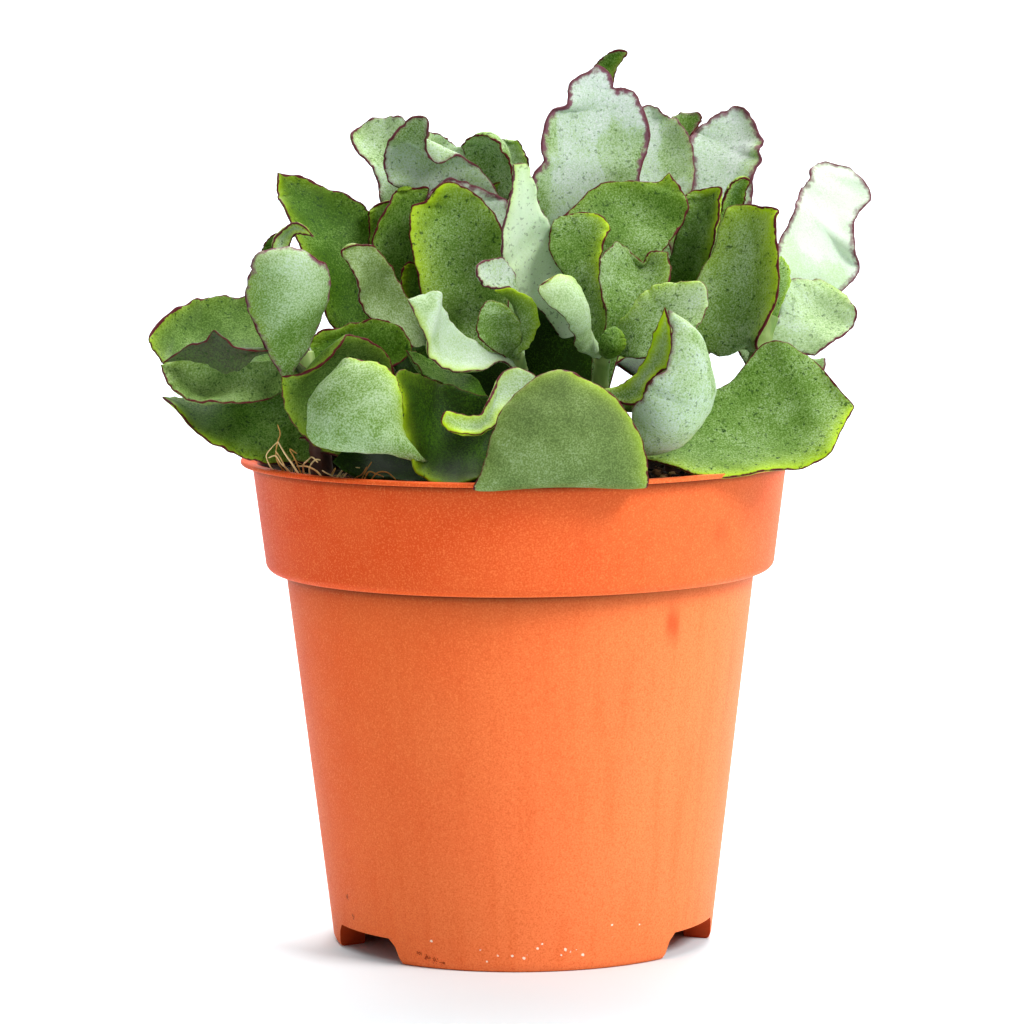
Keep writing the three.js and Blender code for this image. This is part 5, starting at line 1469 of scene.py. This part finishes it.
def pot_profile():
    """Outline of the pot's wall from the underside of its floor, up outside and down inside."""
    lip_foot = POT_HEIGHT - LIP_HEIGHT
    floor = FOOT_HEIGHT + FLOOR_THICKNESS
    corner = COLLAR_FOOT_Z + COLLAR_CORNER
    turn = np.linspace(0, math.pi / 2, 8)
    collar_turn = [
        (COLLAR_FOOT_RADIUS - COLLAR_CORNER * (1 - math.sin(a)), corner - COLLAR_CORNER * math.cos(a))
        for a in turn
    ]
    lip_turn = [
        (LIP_RADIUS - LIP_ROUND + LIP_ROUND * math.cos(a), POT_HEIGHT - LIP_ROUND + LIP_ROUND * math.sin(a))
        for a in turn
    ]
    return [
        (0, FOOT_HEIGHT), *((row, FOOT_HEIGHT) for row in FLOOR_ROWS),
        (FOOT_RING_INNER + FOOT_ROUND / 2, FOOT_HEIGHT),
        (FOOT_RING_INNER + FOOT_LEAN, FOOT_CHAMFER), (FOOT_RING_INNER + FOOT_EDGE, 0),
        (FOOT_RING_OUTER, 0), (FOOT_RING_OUTER + 2 * FOOT_EDGE, FOOT_EDGE), (BASE_RADIUS, FOOT_ROUND),
        (BODY_TOP_RADIUS - NECK_LEAN, COLLAR_FOOT_Z - NECK_HEIGHT),
        (BODY_TOP_RADIUS, COLLAR_FOOT_Z - INNER_CORNER), (BODY_TOP_RADIUS + INNER_CORNER, COLLAR_FOOT_Z),
        *collar_turn,
        (COLLAR_TOP_RADIUS, lip_foot - UNDER_LIP), (COLLAR_TOP_RADIUS, lip_foot - INNER_CORNER),
        (COLLAR_TOP_RADIUS + INNER_CORNER, lip_foot),
        (LIP_RADIUS - LIP_EDGE, lip_foot), (LIP_RADIUS, lip_foot + LIP_EDGE),
        *lip_turn,
        (LIP_RADIUS - LIP_WIDTH, POT_HEIGHT),
        (LIP_RADIUS - LIP_WIDTH - LIP_SLOPE_WIDTH, POT_HEIGHT - LIP_SLOPE_DROP),
        (collar_inner(lip_foot), lip_foot - LIP_ROUND),
        (collar_inner(corner), corner),
        (body_inner(COLLAR_FOOT_Z), COLLAR_FOOT_Z + FLOOR_THICKNESS),
        (body_inner(floor + FOOT_ROUND), floor + FOOT_ROUND),
        (body_inner(floor) - FOOT_ROUND, floor),
        (0, floor),
    ]


def close_rows(profile, step):
    """The profile with points added so that none is further than step from the next."""
    points = [profile[0]]
    for (r0, z0), (r1, z1) in zip(profile, profile[1:]):
        count = max(1, math.ceil(math.hypot(r1 - r0, z1 - z0) / step))
        points += [(r0 + (r1 - r0) * i / count, z0 + (z1 - z0) * i / count) for i in range(1, count + 1)]
    return points


def prism(outline, depth):
    """Points and faces of a flat outline pushed along +Y by depth."""
    count = len(outline)
    points = [(x, y, z) for y in (0, depth) for x, z in outline]
    faces = [list(range(count)), list(range(count, 2 * count))[::-1]]
    faces += [[i, i + count, (i + 1) % count + count, (i + 1) % count] for i in range(count)]
    return np.array(points, float), faces


def foot_cutters(material):
    """Wedges that cut the notches into the pot's foot, and rods that cut the drain holes."""
    width = BASE_RADIUS * math.tan(math.radians(NOTCH_SPAN / 2))
    right = [
        (width + NOTCH_ROUND, -1), (width - NOTCH_SLANT + NOTCH_ROUND, FOOT_HEIGHT - NOTCH_ROUND),
        (width - NOTCH_SLANT, FOOT_HEIGHT),
    ]
    outline = right + [(-x, z) for x, z in reversed(right)]
    cutters = []
    for middle in NOTCH_MIDDLES:
        points, faces = prism(outline, NOTCH_DEPTH)
        points[:, 1] += NOTCH_INNER
        points = turned(points, math.radians(middle - 90))
        cutters.append(mesh_object("cutter", points, faces, material))
    for i in range(DRAIN_COUNT):
        angle = 2 * math.pi * (i + 0.5) / DRAIN_COUNT
        x, y = DRAIN_RING * math.cos(angle), DRAIN_RING * math.sin(angle)
        middle = np.array([(x, y, z) for z in DRAIN_HEIGHTS])
        points, faces = tube(middle, np.full((len(middle), 1), DRAIN_RADIUS), DRAIN_SIDES)
        cutters.append(mesh_object("cutter", points, faces, material))
    return cutters


def cut(piece, cutters):
    """Takes the cutters out of the piece, and then removes them."""
    for cutter in cutters:
        modifier = piece.modifiers.new("cut", "BOOLEAN")
        modifier.operation = "DIFFERENCE"
        modifier.solver = "MANIFOLD"
        modifier.object = cutter
    bpy.context.view_layer.update()
    mesh = bpy.data.meshes.new_from_object(piece.evaluated_get(bpy.context.evaluated_depsgraph_get()))
    piece.modifiers.clear()
    piece.data = mesh
    for cutter in cutters:
        bpy.data.objects.remove(cutter)


def pot_marks(x, y, z):
    """The numbers that the pot's material reads at each point."""
    out = np.hypot(x, y)
    lip_foot = POT_HEIGHT - LIP_HEIGHT
    # Painted shade under the lip, and under the collar, where it is lighter to the right
    outside = (out > COLLAR_FOOT_RADIUS) & (out < LIP_RADIUS - 0.3) & (z < lip_foot + 0.05)
    lip_strength, lip_reach = LIP_SHADE
    under_lip = np.where(outside, lip_strength * np.exp((z - lip_foot) / lip_reach), 0)
    below = COLLAR_FOOT_Z - z
    shades = sum(strength * np.exp(-np.abs(below) / reach) for strength, reach in COLLAR_SHADES)
    under_collar = np.where(below > -0.01, shades * (1 - 0.5 * np.clip(x / LIT_REACH, 0, 1)), 0)
    # Painted light: brighter from left to right and towards the bottom
    from_left = (x + LIT_REACH) / (2 * LIT_REACH)
    # The inner wall above the soil is painted dark brown, from just below the lip down to the soil
    above_soil = (z > SOIL_RIM_Z - 2) & (out < collar_inner(z) + 0.5)
    stain = sum(
        np.exp(-((x - across) / half_width) ** 2 - ((z - height) / half_height) ** 2)
        for across, height, half_width, half_height in STAINS
    )
    return {
        "lit": np.clip(from_left + LIT_LOW * np.clip(1 - z / LIT_LOW_Z, 0, 1), 0, 1),
        "shade": np.minimum(under_lip + under_collar, 1),
        "collar": np.clip((z - COLLAR_FOOT_Z) / COLLAR_BLEND, 0, 1),
        "dark_inner_wall": np.where(above_soil, np.clip(lip_foot - z, 0, 1), 0),
        "stain": np.where(y < 0, stain, 0),
    }


def pot_object(material):
    """The nursery pot, with its notches and drain holes."""
    points, faces = spun(close_rows(pot_profile(), POT_STEP), POT_SIDES)
    pot = mesh_object("pot_shell", points, faces, material)
    cut(pot, foot_cutters(material))
    mesh = pot.data
    mesh.polygons.foreach_set("use_smooth", [True] * len(mesh.polygons))
    mesh.set_sharp_from_angle(angle=math.radians(SHARP_ANGLE))
    x, y, z = np.array([vertex.co for vertex in mesh.vertices]).T / MM
    set_marks(mesh, pot_marks(x, y, z), "POINT")
    x, y, z = np.array([face.center for face in mesh.polygons]).T / MM
    # Painted shade on the faces inside and under the foot
    inside = (np.hypot(x, y) < FOOT_RING_OUTER - 0.2) & (z < FOOT_HEIGHT + 0.1)
    set_marks(mesh, {"foot_shade": np.where(inside, HIDDEN_SHADE, 0)}, "FACE")
    return pot


# Stage

def make_camera():
    """The camera that looks at the plant as the photograph does."""
    data = bpy.data.cameras.new("camera")
    data.lens = CAMERA_LENS
    data.sensor_width = CAMERA_SENSOR
    data.clip_end = 100
    camera = bpy.data.objects.new("camera", data)
    camera.location = CAMERA_AT
    camera.rotation_mode = "ZYX"
    camera.rotation_euler = (math.radians(90 - CAMERA_PITCH), 0, math.radians(-CAMERA_ROLL))
    bpy.context.scene.collection.objects.link(camera)
    bpy.context.scene.camera = camera


def area_light(name, place, size, power, tilt):
    """A soft square light that faces the middle of the plant, or else is tilted."""
    data = bpy.data.lights.new(name, "AREA")
    data.size = size
    data.energy = power
    light = bpy.data.objects.new(name, data)
    light.location = place
    if tilt is None:
        aim = Vector(LIGHT_AIM) - Vector(place)
        light.rotation_euler = aim.to_track_quat("-Z", "Y").to_euler()
    else:
        light.rotation_euler = (math.radians(tilt), 0, 0)
    bpy.context.scene.collection.objects.link(light)


def floor_object():
    """A plain white floor that curves up behind."""
    material = Shader("floor_paint").finish(FLOOR_PAINT, 0.9)
    depth = [(-FLOOR_REACH, 0), (-FLOOR_FRONT, 0), (FLOOR_CURVE, 0)]
    for a in np.linspace(0.1, math.pi / 2, FLOOR_STEPS):
        depth.append((FLOOR_CURVE + FLOOR_CURVE * math.sin(a), FLOOR_CURVE - FLOOR_CURVE * math.cos(a)))
    depth.append((2 * FLOOR_CURVE, FLOOR_REACH))
    points = [(x, y, z) for y, z in depth for x in (-FLOOR_REACH, FLOOR_REACH)]
    faces = [[2 * i, 2 * i + 1, 2 * i + 3, 2 * i + 2] for i in range(len(depth) - 1)]
    return mesh_object("floor", points, faces, material)


def make_stage():
    """The floor, white surroundings and soft lights."""
    floor_object()
    world = bpy.data.worlds.new("surroundings")
    world.use_nodes = True
    background = world.node_tree.nodes["Background"]
    background.inputs["Color"].default_value = (1, 1, 1, 1)
    background.inputs["Strength"].default_value = SURROUNDINGS_STRENGTH
    bpy.context.scene.world = world
    for light in LIGHTS:
        area_light(*light)
    bpy.context.scene.view_settings.view_transform = "Standard"


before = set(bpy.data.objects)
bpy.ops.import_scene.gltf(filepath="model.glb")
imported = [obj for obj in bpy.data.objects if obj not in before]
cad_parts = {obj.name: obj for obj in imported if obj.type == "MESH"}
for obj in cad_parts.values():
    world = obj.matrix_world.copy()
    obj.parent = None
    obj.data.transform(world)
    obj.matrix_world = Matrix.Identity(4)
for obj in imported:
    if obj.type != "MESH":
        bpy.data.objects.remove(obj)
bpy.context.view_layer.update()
make_camera()
make_stage()

leaf_skin, stem_bark = leaf_material(), stem_material()
leaves = leaf_objects(leaf_skin)
stems = [stem_object(name, stem_bark) for name in STEMS]
for name, *pieces in zip(STEMS, leaves, stems):
    for piece in pieces:
        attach(piece, "root")
        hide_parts(f"leafy_stem_{name}")

for piece in (soil_object(soil_material()), crumb_object(crumb_material()), fibre_object(fibre_material())):
    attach(piece, "root")
    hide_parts("soil")

pot = pot_object(pot_material())
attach(pot, "root")
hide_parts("pot")
